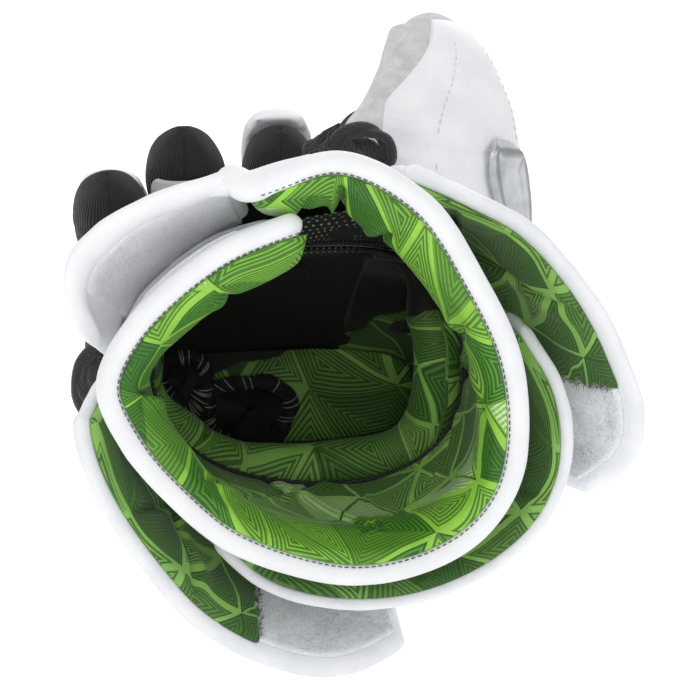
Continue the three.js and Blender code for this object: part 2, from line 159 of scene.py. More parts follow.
def grid_faces(index, ring):
    rows = index.shape[0] if ring else index.shape[0] - 1
    i, j = grid(np.arange(rows), np.arange(index.shape[1] - 1))
    after = (i + 1) % index.shape[0]
    quads = np.stack((index[i, j], index[after, j], index[after, j + 1], index[i, j + 1]), -1)
    return quads.reshape(-1, 4)


def skin(front, back, uv, ring=False):
    """One closed surface from two grids of points that meet at their borders."""
    rows, columns = front.shape[:2]
    a = np.arange(rows * columns).reshape(rows, columns)
    inner = np.ones((rows, columns), bool)
    inner[:, [0, -1]] = False
    if not ring:
        inner[[0, -1], :] = False
    b = a.copy()
    b[inner] = rows * columns + np.arange(inner.sum())
    verts = np.vstack((front.reshape(-1, 3), back[inner]))
    uvs = np.vstack((uv.reshape(-1, 2), uv[inner]))
    faces = np.vstack((grid_faces(a, ring), grid_faces(b, ring)[:, ::-1]))
    return verts, faces, uvs


def double_wall(outer, inner, uv):
    """A closed layer around a ring, from two grids that are sewn together at both ends."""
    inner[:, [0, -1]] = outer[:, [0, -1]]
    return skin(outer, inner, uv, ring=True)


def join(parts):
    """Several (verts, faces, uvs) in one."""
    verts, faces, uvs, shift = [], [], [], 0
    for v, f, t in parts:
        verts.append(v)
        faces.append(f + shift)
        uvs.append(t)
        shift += len(v)
    return np.vstack(verts), np.vstack(faces), np.vstack(uvs)


def turned_out(verts, faces):
    corners = [verts[faces[:, k]] for k in range(4)]
    six = np.einsum("ij,ij->", corners[0], np.cross(corners[1], corners[2]))
    six += np.einsum("ij,ij->", corners[0], np.cross(corners[2], corners[3]))
    return faces if six > 0 else faces[:, ::-1]


def add_mesh(name, verts, faces, uvs):
    mesh = bpy.data.meshes.new(name)
    faces = turned_out(verts, faces)
    lists = [[c for k, c in enumerate(face) if c != face[k - 1]] for face in faces.tolist()]
    mesh.from_pydata(to_row(verts).tolist(), [], lists)
    layer = mesh.uv_layers.new(name="UVMap")
    loops = np.zeros(len(mesh.loops), np.int32)
    mesh.loops.foreach_get("vertex_index", loops)
    layer.data.foreach_set("uv", (uvs[loops] * 0.1).astype(np.float32).ravel())
    obj = bpy.data.objects.new(name, mesh)
    bpy.context.scene.collection.objects.link(obj)
    return obj


def finish_mesh(obj, material):
    """Smooth shading, the material, and the rest position and convexity that materials read."""
    mesh = obj.data
    mesh.materials.clear()
    mesh.materials.append(material)
    mesh.polygons.foreach_set("use_smooth", np.ones(len(mesh.polygons), bool))
    count = len(mesh.vertices)
    co = np.zeros(count * 3, np.float32)
    mesh.vertices.foreach_get("co", co)
    co = (co.reshape(-1, 3) - ORIGIN) / MM
    rest = mesh.attributes.new("rest", "FLOAT_VECTOR", "POINT")
    rest.data.foreach_set("vector", co.astype(np.float32).ravel())
    edges = np.zeros(len(mesh.edges) * 2, np.int32)
    mesh.edges.foreach_get("vertices", edges)
    edges = edges.reshape(-1, 2)
    normals = np.zeros(count * 3, np.float32)
    mesh.vertices.foreach_get("normal", normals)
    normals = normals.reshape(-1, 3)
    along = co[edges[:, 1]] - co[edges[:, 0]]
    along /= np.maximum(np.linalg.norm(along, axis=1, keepdims=True), 1e-9)
    total, degree = np.zeros(count), np.zeros(count)
    for end, sign in ((0, -1), (1, 1)):
        np.add.at(total, edges[:, end], sign * np.einsum("ij,ij->i", normals[edges[:, end]], along))
        np.add.at(degree, edges[:, end], 1)
    convex = mesh.attributes.new("convex", "FLOAT", "POINT")
    convex.data.foreach_set("value", (total / np.maximum(degree, 1)).astype(np.float32))
    mesh.update()
    return obj


def piece(name, shape, material, body=None, replaces=()):
    obj = finish_mesh(add_mesh(name, *shape), material)
    return fitted(obj, body, replaces)


def fitted(obj, body=None, replaces=()):
    """Rides obj on its body, and says which CAD nodes it replaces."""
    if body:
        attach(obj, body)
    if replaces:
        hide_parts(*replaces)
    return obj


def bend(obj, first, second, start, end):
    """Bakes obj's transform into its mesh; first, second, start and end are not used, and obj is not carried
    from one body to the next.
    """
    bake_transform(obj)


def tube(path, radius, sides):
    """A closed cord along a path of points. radius is a number, or one to each point."""
    path = np.asarray(path, float)
    radius = np.broadcast_to(np.asarray(radius, float), len(path))
    tangent = unit(np.gradient(path, axis=0))
    side = unit(np.cross(tangent[0], (0.3, 0.2, 1.0)))
    sides_at = []
    for t in tangent:
        side = unit(side - t * np.dot(side, t))
        sides_at.append(side)
    side = np.array(sides_at)
    other = np.cross(tangent, side)
    run = run_along(path)
    angle = full_turn(sides)[:, None]
    ring = (path[:, None] + radius[:, None, None] * (np.cos(angle) * side[:, None]
            + np.sin(angle) * other[:, None]))
    rings = ring.reshape(-1, 3)
    index = np.arange(len(rings)).reshape(len(path), sides)
    walls = np.stack((index[:-1], np.roll(index[:-1], -1, 1), np.roll(index[1:], -1, 1), index[1:]), -1)
    verts = np.vstack((rings, path[:1], path[-1:]))
    first, last = len(rings), len(rings) + 1
    caps = []
    for edge, after, tip in ((np.roll(index[0], -1), index[0], first),
                             (index[-1], np.roll(index[-1], -1), last)):
        caps.append(np.stack((edge, after, np.full(sides, tip), np.full(sides, tip)), -1))
    faces = np.vstack([walls.reshape(-1, 4)] + caps)
    around = np.arange(sides) / sides * 2 * math.pi * float(radius.mean())
    uv = np.stack(np.broadcast_arrays(around[None, :], run[:, None]), -1).reshape(-1, 2)
    uv = np.vstack((uv, (0, 0), (0, run[-1])))
    return verts, faces, uv


def spline(points, step, closed=False):
    """A smooth line through points, at equal steps."""
    p = np.asarray(points, float)
    if closed:
        p = np.vstack((p[-1:], p, p[:2]))
    else:
        p = np.vstack((2 * p[0] - p[1], p, 2 * p[-1] - p[-2]))
    dense = []
    for k in range(len(p) - 3):
        p0, p1, p2, p3 = p[k:k + 4]
        d0, d1, d2 = (max(np.linalg.norm(b - a) ** 0.5, 1e-6)
                      for a, b in ((p0, p1), (p1, p2), (p2, p3)))
        t1 = ((p1 - p0) / d0 - (p2 - p0) / (d0 + d1) + (p2 - p1) / d1) * d1
        t2 = ((p2 - p1) / d1 - (p3 - p1) / (d1 + d2) + (p3 - p2) / d2) * d1
        t = np.linspace(0, 1, 40, endpoint=False)[:, None]
        dense.append(p1 + t1 * t + (3 * (p2 - p1) - 2 * t1 - t2) * t ** 2
                     + (2 * (p1 - p2) + t1 + t2) * t ** 3)
    dense = np.vstack(dense + [p[-2:-1]])
    return resampled(dense, step)


def resampled(line, step):
    run = run_along(line)
    count = max(2, int(round(run[-1] / step)) + 1)
    return read_at(np.linspace(0, run[-1], count), run, line)


def read_at(at, run, line):
    """Points of a line at distances along it."""
    return np.stack([np.interp(at, run, column) for column in line.T], -1)


def stitches(line, normals, pitch, length, radius, sink):
    """A row of separate stitches along a line, each a small capsule bedded in the surface."""
    run = run_along(line)
    parts = []
    arch = np.array((-0.9, 0.3, 0.55, 0.3, -0.9)) * radius
    for middle in np.arange(pitch / 2, run[-1], pitch):
        at = middle + np.linspace(-0.5, 0.5, 5) * length
        point = read_at(at, run, line) + unit(read_at(at, run, normals)) * (arch - sink)[:, None]
        parts.append(tube(point, radius * np.array((0.6, 0.95, 1, 0.95, 0.6)), 6))
    return join(parts)


def spikes(points, directions, lengths, width, seed):
    """Short bent fibres with closed three-sided sections."""
    rng = np.random.RandomState(seed)
    points, directions = np.asarray(points, float), unit(directions)
    n = len(points)
    bend = unit(rng.randn(n, 3))
    a = unit(np.cross(directions, bend))
    b = np.cross(directions, a)
    lengths = np.asarray(lengths, float)[:, None]
    rings = []
    for share, size, drift in ((0.0, 1.0, 0.0), (0.55, 0.8, 0.12), (1.0, 0.35, 0.45)):
        centre = points + directions * lengths * share + bend * lengths * drift
        for k in range(3):
            turn = 2 * math.pi * k / 3
            rings.append(centre + width * size * (math.cos(turn) * a + math.sin(turn) * b))
    verts = np.stack(rings, 1).reshape(-1, 3)
    face = [(0, 2, 1, 1), (6, 7, 8, 8)]
    for ring in (0, 3):
        for k in range(3):
            m = (k + 1) % 3
            face.append((ring + k, ring + m, ring + m + 3, ring + k + 3))
    faces = (np.arange(n)[:, None, None] * 9 + np.array(face)[None]).reshape(-1, 4)
    return verts, faces, np.zeros((len(verts), 2))


# ---- Materials ----


class Wire:
    """A node output that takes part in sums."""

    def __init__(self, shader, socket):
        self.shader = shader
        self.socket = socket

    def __add__(self, other):
        return self.shader.math("ADD", self, other)

    def __sub__(self, other):
        return self.shader.math("SUBTRACT", self, other)

    def __rsub__(self, other):
        return self.shader.math("SUBTRACT", other, self)

    def __mul__(self, other):
        return self.shader.math("MULTIPLY", self, other)

    __radd__ = __add__
    __rmul__ = __mul__


class Shader:
    """A Principled material and the nodes that feed it."""

    def __init__(self, name, roughness):
        self.material = bpy.data.materials.new(name)
        self.material.use_nodes = True
        self.tree = self.material.node_tree
        self.tree.nodes.clear()
        self.surface = self.node("ShaderNodeBsdfPrincipled")
        self.surface.inputs["Roughness"].default_value = roughness
        output = self.node("ShaderNodeOutputMaterial")
        self.tree.links.new(self.surface.outputs[0], output.inputs[0])
        self.normal = None

    def node(self, kind, **settings):
        n = self.tree.nodes.new(kind)
        for key, value in settings.items():
            setattr(n, key, value)
        return n

    def feed(self, socket, value):
        if isinstance(value, Wire):
            self.tree.links.new(value.socket, socket)
        elif isinstance(value, tuple):
            socket.default_value = (*value, 1)
        else:
            socket.default_value = value

    def set(self, name, value):
        self.feed(self.surface.inputs[name], value)

    def math(self, operation, *values):
        n = self.node("ShaderNodeMath", operation=operation)
        for socket, value in zip(n.inputs, values):
            self.feed(socket, value)
        return Wire(self, n.outputs[0])

    def step(self, value, low, high):
        """0 below low, 1 above high, and smooth between."""
        n = self.node("ShaderNodeMapRange", interpolation_type="SMOOTHSTEP")
        self.feed(n.inputs["Value"], value)
        self.feed(n.inputs["From Min"], low)
        self.feed(n.inputs["From Max"], high)
        return Wire(self, n.outputs[0])

    def mix(self, share, a, b):
        n = self.node("ShaderNodeMix", data_type="RGBA")
        self.feed(n.inputs[0], share)
        self.feed(n.inputs[6], a)
        self.feed(n.inputs[7], b)
        return Wire(self, n.outputs[2])

    def rest(self):
        """The point's place on the glove at rest, in millimetres."""
        n = self.node("ShaderNodeAttribute", attribute_name="rest")
        return Wire(self, n.outputs["Vector"])

    def convex(self):
        """Above 0 on outer edges and below 0 in hollows."""
        n = self.node("ShaderNodeAttribute", attribute_name="convex")
        return Wire(self, n.outputs["Fac"])

    def uv(self):
        """U and V in millimetres."""
        n = self.node("ShaderNodeTexCoord")
        across, along, _ = self.split(Wire(self, n.outputs["UV"]))
        return across * 10, along * 10

    def split(self, vector):
        n = self.node("ShaderNodeSeparateXYZ")
        self.feed(n.inputs[0], vector)
        return [Wire(self, s) for s in n.outputs]

    def vector(self, x=0, y=0, z=0):
        n = self.node("ShaderNodeCombineXYZ")
        for socket, value in zip(n.inputs, (x, y, z)):
            self.feed(socket, value)
        return Wire(self, n.outputs[0])

    def noise(self, place, size, detail=2.0, rough=0.5, distortion=0.0):
        """Noise from 0 to 1 with features about `size` mm across."""
        n = self.node("ShaderNodeTexNoise")
        self.feed(n.inputs["Vector"], place)
        self.feed(n.inputs["Scale"], 1.0 / size)
        self.feed(n.inputs["Detail"], detail)
        self.feed(n.inputs["Roughness"], rough)
        self.feed(n.inputs["Distortion"], distortion)
        return Wire(self, n.outputs[0])

    def cells(self, place, size, feature="F1"):
        n = self.node("ShaderNodeTexVoronoi", feature=feature)
        self.feed(n.inputs["Vector"], place)
        self.feed(n.inputs["Scale"], 1.0 / size)
        return Wire(self, n.outputs["Distance"])

    def random(self, x, y, z=0):
        n = self.node("ShaderNodeTexWhiteNoise")
        self.feed(n.inputs["Vector"], self.vector(x, y, z))
        return Wire(self, n.outputs["Value"])

    def wave(self, x, pitch):
        """A sine of x, from 0 to 1, with one crest every `pitch` mm."""
        return self.math("SINE", x * (2 * math.pi / pitch)) * 0.5 + 0.5

    def bump(self, height, depth, strength):
        """Adds relief `depth` mm deep."""
        n = self.node("ShaderNodeBump")
        self.feed(n.inputs["Height"], height)
        n.inputs["Distance"].default_value = depth * MM
        n.inputs["Strength"].default_value = strength
        if self.normal:
            self.feed(n.inputs["Normal"], self.normal)
        self.normal = Wire(self, n.outputs[0])
        self.set("Normal", self.normal)

    def colour(self, value):
        self.set("Base Color", value)
        return self.material


def scaled(colour, by):
    return tuple(min(1.0, by * c) for c in colour)


def leather(name, light, dark, grain=1.1, crease=1.0):
    """Coated synthetic leather: fine grain, soft creases, scuffs on edges, and painted shade in hollows and
    seams.
    """
    s = Shader(name, roughness=0.5)
    place = s.rest()
    mottle = s.noise(place, 14, 3)
    fine = s.noise(place, 1.6, 4, 0.65)
    scuff = s.step(s.noise(place, 3.2, 6, 0.75), 0.62, 0.74) * s.step(s.noise(place, 26, 1), 0.5, 0.66)
    worn = s.step(s.convex(), 0.10, 0.32) * s.step(s.noise(place, 2.2, 4, 0.7), 0.45, 0.62)
    # painted shade: darker wherever the surface is hollow, in creases and seams
    hollow_shade = s.step(s.convex() * -1.0, 0.05, 0.3)
    colour = s.mix(s.step(mottle, 0.3, 0.72), dark, light)
    colour = s.mix(s.step(fine, 0.45, 0.75) * 0.25, colour, dark)
    colour = s.mix(scuff * 0.35, colour, scaled(dark, 0.62))
    colour = s.mix(worn * 0.3, colour, scaled(light, 0.78))
    colour = s.mix(hollow_shade * 0.4, colour, scaled(dark, 0.55))
    s.set("Roughness", s.math("ADD", 0.42, fine * 0.22))
    s.bump(s.cells(place, grain, "DISTANCE_TO_EDGE"), 0.10, 0.35)
    s.bump(s.noise(place, 5.5, 3, 0.6, 0.6), 1.2 * crease, 0.45)
    s.bump(fine, 0.12, 0.5)
    s.set("Sheen Weight", 0.08)
    return s.colour(colour)


def print_colours(s, across, along, tone, seed):
    """The lining's print: triangles of nested lines between lime bands."""
    warp = s.vector(across, along, seed)
    lean = s.noise(warp, 70, 1) - 0.5
    sway = s.noise(s.vector(along, across, seed + 7.0), 60, 1) - 0.5
    across = across + lean * 30
    along = along + sway * 26
    width, height = 31.0, 23.0
    gx = (across + along * 0.42) * (1 / width)
    gy = (along - across * 0.12) * (1 / height)
    cell_x, cell_y = s.math("FLOOR", gx), s.math("FLOOR", gy)
    fx, fy = s.math("FRACT", gx), s.math("FRACT", gy)
    pick = s.random(cell_x, cell_y, seed)
    side = s.math("MINIMUM", fx, 1 - fx) * (0.9 * width)
    level = s.math("MINIMUM", fy, 1 - fy) * (0.95 * height)
    slope = width * height / math.hypot(width, height)
    first = fx - fy
    second = fx + fy - 1
    falling = s.math("LESS_THAN", pick, 0.5)
    across_it = first * falling + second * (1 - falling)
    plain = s.math("GREATER_THAN", pick, 0.86) * 99
    diagonal = s.math("ABSOLUTE", across_it) * slope + plain
    inward = s.math("MINIMUM", s.math("MINIMUM", side, level), diagonal)
    half = s.math("GREATER_THAN", across_it, 0)
    shade = s.random(cell_x, cell_y + half * 0.37, seed + 3.0)
    banded = s.random(cell_x + half * 0.21, cell_y, seed + 5.0)
    edge = s.step(banded, 0.25, 1.0) * 1.9 - 0.3
    fuzz = (s.noise(s.vector(across, along, 1.0), 0.5, 1) - 0.5) * 0.25
    lines = s.step(s.wave(inward + fuzz, 1.3), 0.30, 0.62)
    dark, mid, light, pale = tone
    ground = s.mix(s.step(shade, 0.15, 0.8), mid, light)
    ink = s.mix(s.step(shade, 0.1, 0.9), dark, tuple(0.45 * m + 0.55 * d for m, d in zip(mid, dark)))
    deep = s.math("GREATER_THAN", s.random(cell_x + 4.0, cell_y + half * 0.5, seed), 0.8)
    ground = s.mix(deep * 0.45, ground, dark)
    colour = s.mix(lines * 0.92, ground, ink)
    band = 1 - s.step(inward, edge, edge + 0.22)
    colour = s.mix(band, colour, scaled(light, 1.15))
    patch = s.math("GREATER_THAN", s.random(cell_x, cell_y + half, seed + 9.0), 0.94)
    pale_lines = s.mix(s.step(s.wave(across + along, 2.6), 0.3, 0.6), pale, light)
    colour = s.mix(patch * s.step(inward, 0.9, 1.2) * 0.8, colour, pale_lines)
    return colour


def knit_relief(s, across, along):
    rows = s.wave(across + along * 0.5, KNIT_PITCH)
    columns = s.wave(along - across * 0.5, KNIT_PITCH)
    s.bump(rows * columns, 0.16, 0.55)
    return rows * columns


KNIT_PITCH = 0.85
SATIN_REACH = 26.0  # mm from the rim to where the satin gives way to mesh
# The print's dark, middle, light and pale greens.
SATIN_TONE = ((0.016, 0.095, 0.004), (0.085, 0.30, 0.018), (0.27, 0.56, 0.055), (0.74, 0.84, 0.66))
KNIT_TONE = ((0.022, 0.070, 0.010), (0.085, 0.235, 0.028), (0.26, 0.50, 0.10), (0.56, 0.72, 0.40))
PANEL_TONE = ((0.022, 0.072, 0.010), (0.070, 0.190, 0.026), (0.225, 0.450, 0.090), (0.60, 0.74, 0.50))


def lining(name, tone, seed, inner_tone=None, black_and_shade_above=False):
    """Printed knit. With an inner tone, the satin face gives way to the duller mesh further in.

    The last argument makes it plain black above a slanting line inside the hand (the black mesh's colour and
    painted shade), with painted shade darkening a band of the knit below that line.
    """
    s = Shader(name, roughness=0.42)
    across, along = s.uv()
    colour = print_colours(s, across, along, tone, seed)
    weave = knit_relief(s, across, along)
    if inner_tone:
        ragged = (s.noise(s.vector(across, along, 0.0), 26, 2) - 0.5) * 30
        share = s.step(along + ragged, SATIN_REACH - 1.5, SATIN_REACH + 1.5)
        colour = s.mix(share, colour, print_colours(s, across, along, inner_tone, seed + 1.0))
        s.set("Roughness", share * 0.35 + 0.36)
        colour = s.mix(weave * share * 0.45, colour, inner_tone[0])
    else:
        s.set("Roughness", 0.62)
        colour = s.mix(weave * 0.35, colour, tone[0])
    place = s.rest()
    s.bump(s.noise(place, 7, 3, 0.55), 0.8, 0.3)
    colour = s.mix(s.step(s.noise(place, 20, 2), 0.35, 0.75) * 0.18, colour, tone[0])
    if black_and_shade_above:
        # height is measured across the camera's line of sight
        x, y, z = s.split(place)
        height = (z - 4.15) * 0.966 + y * 0.259
        line = x * 0.29 + (1 - s.step(x, -43, -35)) * 16 - 1.0
        over = height - line + (s.noise(place, 15, 2) - 0.5) * 9
        # painted shade: a band of the knit below the line is darkened
        colour = s.mix(s.step(over, -9.0, 0.0) * 0.45, colour, (0.012, 0.02, 0.006))
        # plain black above the line: the black mesh's colour, and painted shade
        colour = s.mix(s.step(over, -0.4, 0.4), colour, (0.003, 0.003, 0.003))
    s.set("Sheen Weight", 0.12)
    s.set("Specular IOR Level", 0.35)
    return s.colour(colour)


def ribbed(name, dark, light):
    """Stretch knit with fine ribs along V, their crests painted lighter for sheen."""
    s = Shader(name, roughness=0.78)
    across, along = s.uv()
    sway = (s.noise(s.rest(), 9, 2) - 0.5) * 1.6
    rib = s.wave(across + sway, 1.15)
    loops = s.wave(along + s.math("ABSOLUTE", rib - 0.5) * 0.8, 0.8)
    s.bump(rib, 0.38, 0.9)
    s.bump(loops, 0.12, 0.5)
    # painted sheen: the rib crests are coloured lighter than the furrows
    colour = s.mix(s.step(rib, 0.25, 0.9), dark, light)
    colour = s.mix(loops * 0.3, colour, dark)
    lint = s.step(s.noise(s.rest(), 0.7, 2, 0.6), 0.74, 0.80)
    colour = s.mix(lint * 0.35, colour, (0.14, 0.14, 0.14))
    s.set("Sheen Weight", 0.16)
    s.set("Specular IOR Level", 0.3)
    return s.colour(colour)


EYELET_PITCH = 1.9


def dotted_mesh(name):
    """Black open mesh with a light knit behind it; its eyelets show that knit only inside a lit box near the
    wrist end, as painted light.
    """
    s = Shader(name, roughness=0.8)
    across, along = s.uv()
    x = s.wave(across + s.math("FLOOR", along * (1 / EYELET_PITCH)) * (EYELET_PITCH / 2), EYELET_PITCH)
    hole = s.step(x * s.wave(along, EYELET_PITCH), 0.62, 0.78)
    x, y, z = s.split(s.rest())
    # painted light: the eyelets are light only inside this box near the wrist end
    lit = (1 - s.step(y, 76, 84)) * s.step(x, -16, -10) * (1 - s.step(x, 18, 26)) * s.step(z, 0, 6)
    lit_eyelets = s.step(s.noise(s.rest(), 11, 2), 0.36, 0.48) * lit
    s.bump(1 - hole, 0.35, 0.8)
    colour = s.mix(s.noise(s.rest(), 1.2, 2), (0.004, 0.004, 0.004), (0.014, 0.014, 0.014))
    colour = s.mix(hole * lit_eyelets * 0.8, colour, (0.42, 0.42, 0.36))
    return s.colour(colour)


def suede(name, light, dark):
    s = Shader(name, roughness=0.92)
    place = s.rest()
    nap = s.noise(place, 0.55, 4, 0.7)
    brushed = s.noise(place, 9, 3, 0.6, 1.2)
    colour = s.mix(s.step(brushed, 0.32, 0.7), dark, light)
    colour = s.mix(s.step(nap, 0.35, 0.7) * 0.35, colour, scaled(dark, 0.7))
    # painted highlight: lighter on outer edges
    colour = s.mix(s.step(s.convex(), 0.08, 0.3) * 0.35, colour, scaled(light, 1.2))
    # painted shade: darker in hollows
    colour = s.mix(s.step(s.convex() * -1.0, 0.04, 0.25) * 0.45, colour, scaled(dark, 0.4))
    s.bump(nap, 0.22, 0.7)
    s.bump(s.noise(place, 4, 3, 0.6, 0.8), 0.9, 0.4)
    s.set("Sheen Weight", 0.3)
    return s.colour(colour)


def pile(name, dark, light, speckle):
    """Brushed loop pile: light grey with darker and paler flecks."""
    s = Shader(name, roughness=0.95)
    place = s.rest()
    flecks = s.noise(place, 0.55, 3, 0.8)
    loops = s.cells(place, 0.75)
    cloud = s.noise(place, 7, 3, 0.6)
    colour = s.mix(s.step(flecks, 0.3, 0.72), dark, light)
    colour = s.mix(s.step(cloud, 0.4, 0.7) * 0.4, colour, tuple(0.45 * (a + b) for a, b in zip(dark, light)))
    specks = s.step(s.noise(place, 0.42, 2, 0.5), 0.70, 0.76)
    colour = s.mix(specks * speckle, colour, (0.20, 0.22, 0.25))
    s.bump(loops, 0.35, 0.8)
    s.bump(flecks, 0.35, 0.6)
    s.set("Sheen Weight", 0.4)
    return s.colour(colour)


def braided(name, dark, light):
    s = Shader(name, roughness=0.7)
    across, along = s.uv()
    one = s.wave(across * 1.6 + along, 1.5)
    two = s.wave(along - across * 1.6, 1.5)
    braid = s.math("MAXIMUM", one, two)
    s.bump(braid, 0.3, 0.8)
    s.bump(s.noise(s.rest(), 0.5, 3), 0.1, 0.5)
    # painted highlight: the braid's raised strands are coloured lighter
    colour = s.mix(s.step(braid, 0.55, 0.98), dark, light)
    brown = s.step(s.noise(s.rest(), 4, 2), 0.55, 0.7)
    colour = s.mix(brown * 0.4, colour, (0.045, 0.028, 0.02))
    s.set("Sheen Weight", 0.2)
    return s.colour(colour)


def thread(name, colour, other):
    s = Shader(name, roughness=0.55)
    across, along = s.uv()
    ply = s.wave(along + across * 2, 0.5)
    s.bump(ply, 0.08, 0.6)
    shade = s.noise(s.rest(), 2.5, 2)
    return s.colour(s.mix(s.step(shade, 0.35, 0.7), colour, other))


def clear_moulding(name):
    """Smoky translucent plastic with a wavy face and fine scratches, and painted shade along its rims and in
    its hollows.
    """
    s = Shader(name, roughness=0.14)
    place = s.rest()
    cloud = s.noise(place, 9, 2, 0.5, 0.4)
    scratch = s.step(s.noise(place, 0.9, 5, 0.8, 2.0), 0.6, 0.68)
    s.set("Roughness", scratch * 0.25 + 0.12)
    s.set("Transmission Weight", 0.35)
    s.set("IOR", 1.46)
    s.set("Coat Weight", 0.5)
    s.set("Coat Roughness", 0.06)
    s.bump(cloud, 0.9, 0.5)
    colour = s.mix(s.step(cloud, 0.3, 0.7), (0.60, 0.62, 0.64), (0.84, 0.86, 0.88))
    # painted shade: darker on outer rims and in hollows
    rim_shade = s.step(s.convex(), 0.02, 0.14) + s.step(s.convex() * -1.0, 0.02, 0.14) * 0.6
    return s.colour(s.mix(rim_shade * 0.75, colour, (0.26, 0.28, 0.29)))


def sheet_plastic(name):
    s = Shader(name, roughness=0.4)
    place = s.rest()
    haze = s.noise(place, 8, 3)
    s.bump(s.noise(place, 0.8, 2), 0.05, 0.5)
    s.set("Roughness", s.noise(place, 3, 4) * 0.3 + 0.3)
    return s.colour(s.mix(haze, (0.66, 0.67, 0.68), (0.78, 0.79, 0.80)))


WHITE_LEATHER = leather("white_leather", (0.875, 0.885, 0.905), (0.80, 0.815, 0.845))
SOFT_WHITE = leather("soft_white_leather", (0.885, 0.893, 0.912), (0.83, 0.843, 0.868), 0.9, 0.6)
PALM_SUEDE = suede("palm_suede", (0.70, 0.705, 0.695), (0.56, 0.565, 0.56))
FINGER_SUEDE = suede("finger_suede", (0.66, 0.665, 0.645), (0.52, 0.525, 0.505))
SATIN = lining("satin_lining", SATIN_TONE, 2.0, KNIT_TONE)
PANEL_LINING = lining("panel_lining", PANEL_TONE, 5.0)
HAND_KNIT = lining("hand_knit_lining", KNIT_TONE, 8.0, black_and_shade_above=True)
BLACK_RIB = ribbed("black_rib", (0.006, 0.006, 0.007), (0.020, 0.020, 0.022))
BLACK_MESH = dotted_mesh("black_dotted_mesh")
PILE = pile("loop_pile", (0.70, 0.73, 0.75), (0.93, 0.945, 0.96), 0.70)
TAB_PILE = pile("brushed_tab_pile", (0.84, 0.845, 0.91), (0.93, 0.935, 0.965), 0.10)
CORD = braided("black_braid", (0.006, 0.006, 0.006), (0.032, 0.030, 0.030))
BLACK_THREAD = thread("black_thread", (0.006, 0.006, 0.006), (0.03, 0.03, 0.03))
WHITE_THREAD = thread("white_thread", (0.72, 0.73, 0.74), (0.86, 0.86, 0.86))
GREY_THREAD = thread("grey_thread", (0.30, 0.31, 0.31), (0.55, 0.56, 0.55))
SEAM_THREAD = thread("dark_green_thread", (0.012, 0.035, 0.006), (0.03, 0.06, 0.015))
GUARD = clear_moulding("clear_moulding")
PLATE = sheet_plastic("sheet_plastic")


# ---- Cuff: strips between a rim line and a root line, the same outlines as the frame's panels ----


class Line:
    """A smooth line through [x, z] points, with u from 0 to 1 along its length."""

    def __init__(self, points):
        self.points = spline(points, 0.25)
        run = run_along(self.points)
        self.length = run[-1]
        self.share = run / run[-1]

    def at(self, u):
        return read_at(u, self.share, self.points)

    def normal(self, u):
        u = np.asarray(u)
        t = unit(self.at(np.minimum(u + 0.006, 1)) - self.at(np.maximum(u - 0.006, 0)))
        return np.stack((-t[..., 1], t[..., 0]), -1)


class Strip:
    """A band between a rim line at rim_y and a root line at root_y. curl draws in the rim's two ends."""

    def __init__(self, rim, root, rim_y, root_y, side, curl=(0, 0)):
        self.rim, self.root = Line(rim), Line(root)
        self.rim_y, self.root_y, self.side, self.curl = rim_y, root_y, side, curl

    def near_y(self, s):
        s = np.asarray(s, float)
        head = self.curl[0] * np.clip(1 - 2 * s, 0, 1) ** 5
        return self.rim_y + head + self.curl[1] * np.clip(2 * s - 1, 0, 1) ** 5

    def place(self, s, y, depth):
        """The point at share s along the rim, at y, `depth` mm below the outer surface."""
        s, y, depth = np.broadcast_arrays(np.asarray(s, float), y, depth)
        share = ((y - self.rim_y) / (self.root_y - self.rim_y))[..., None]
        normal = unit(self.rim.normal(s) * (1 - share) + self.root.normal(s) * share)
        flat = self.rim.at(s) * (1 - share) + self.root.at(s) * share
        flat = flat - self.side * depth[..., None] * normal
        return np.stack((flat[..., 0], y, flat[..., 1]), -1)

    def outward(self, s, y):
        return unit(self.place(s, y, -1.0) - self.place(s, y, 0.0))


COLLAR = Strip(
    rim=[(-4, 46), (-30, 35), (-55, 13), (-63, -5), (-56, -24), (-42, -42), (-25, -57), (8, -69),
         (31, -67), (49, -58), (60, -44), (64, -25), (61, 0), (50, 24), (33, 49), (8, 62), (-20, 55)],
    root=[(-4, 30), (-25, 25), (-43, 11), (-50, -6), (-50, -22), (-42, -40), (-24, -54), (8, -61),
          (31, -59), (47, -51), (57, -38), (60, -22), (58, 0), (49, 20), (33, 37), (12, 46), (-12, 45)],
    rim_y=0, root_y=56, side=-1)
BACK = Strip(
    rim=[(72, -1), (79, -12), (81, -25), (79, -42), (71, -58), (56, -71), (33, -80), (6, -81),
         (-16, -76), (-28, -68)],
    root=[(70, 0), (71, -10), (71, -23), (69, -37), (61, -50), (47, -61), (28, -68), (6, -71),
          (-14, -68), (-28, -62)],
    rim_y=12, root_y=58, side=1, curl=(26, 20))
THUMB_WING = Strip(
    rim=[(34, 54), (51, 45), (67, 36), (81, 22), (91, 8), (99, -8), (105, -24), (105, -40), (96, -54)],
    root=[(30, 47), (42, 40.5), (54, 30), (63, 18), (70, 5), (75, -8), (78, -22), (78, -39), (73, -53)],
    rim_y=20, root_y=58, side=1, curl=(14, 10))
LITTLE_WING = Strip(
    rim=[(-69, -6), (-70, -15), (-69, -28), (-62, -47), (-50, -67), (-35, -86), (-16, -99), (8, -107),
         (32, -105)],
    root=[(-61, -4), (-61, -15), (-59, -28), (-54, -43), (-45, -57), (-32, -71), (-15, -83), (7, -89),
          (30, -88)],
    rim_y=18, root_y=58, side=-1, curl=(10, 10))


def flat_depth(value):
    return lambda share: np.full_like(share, value, dtype=float)


def sloped(first, last):
    return lambda share: first + (last - first) * share


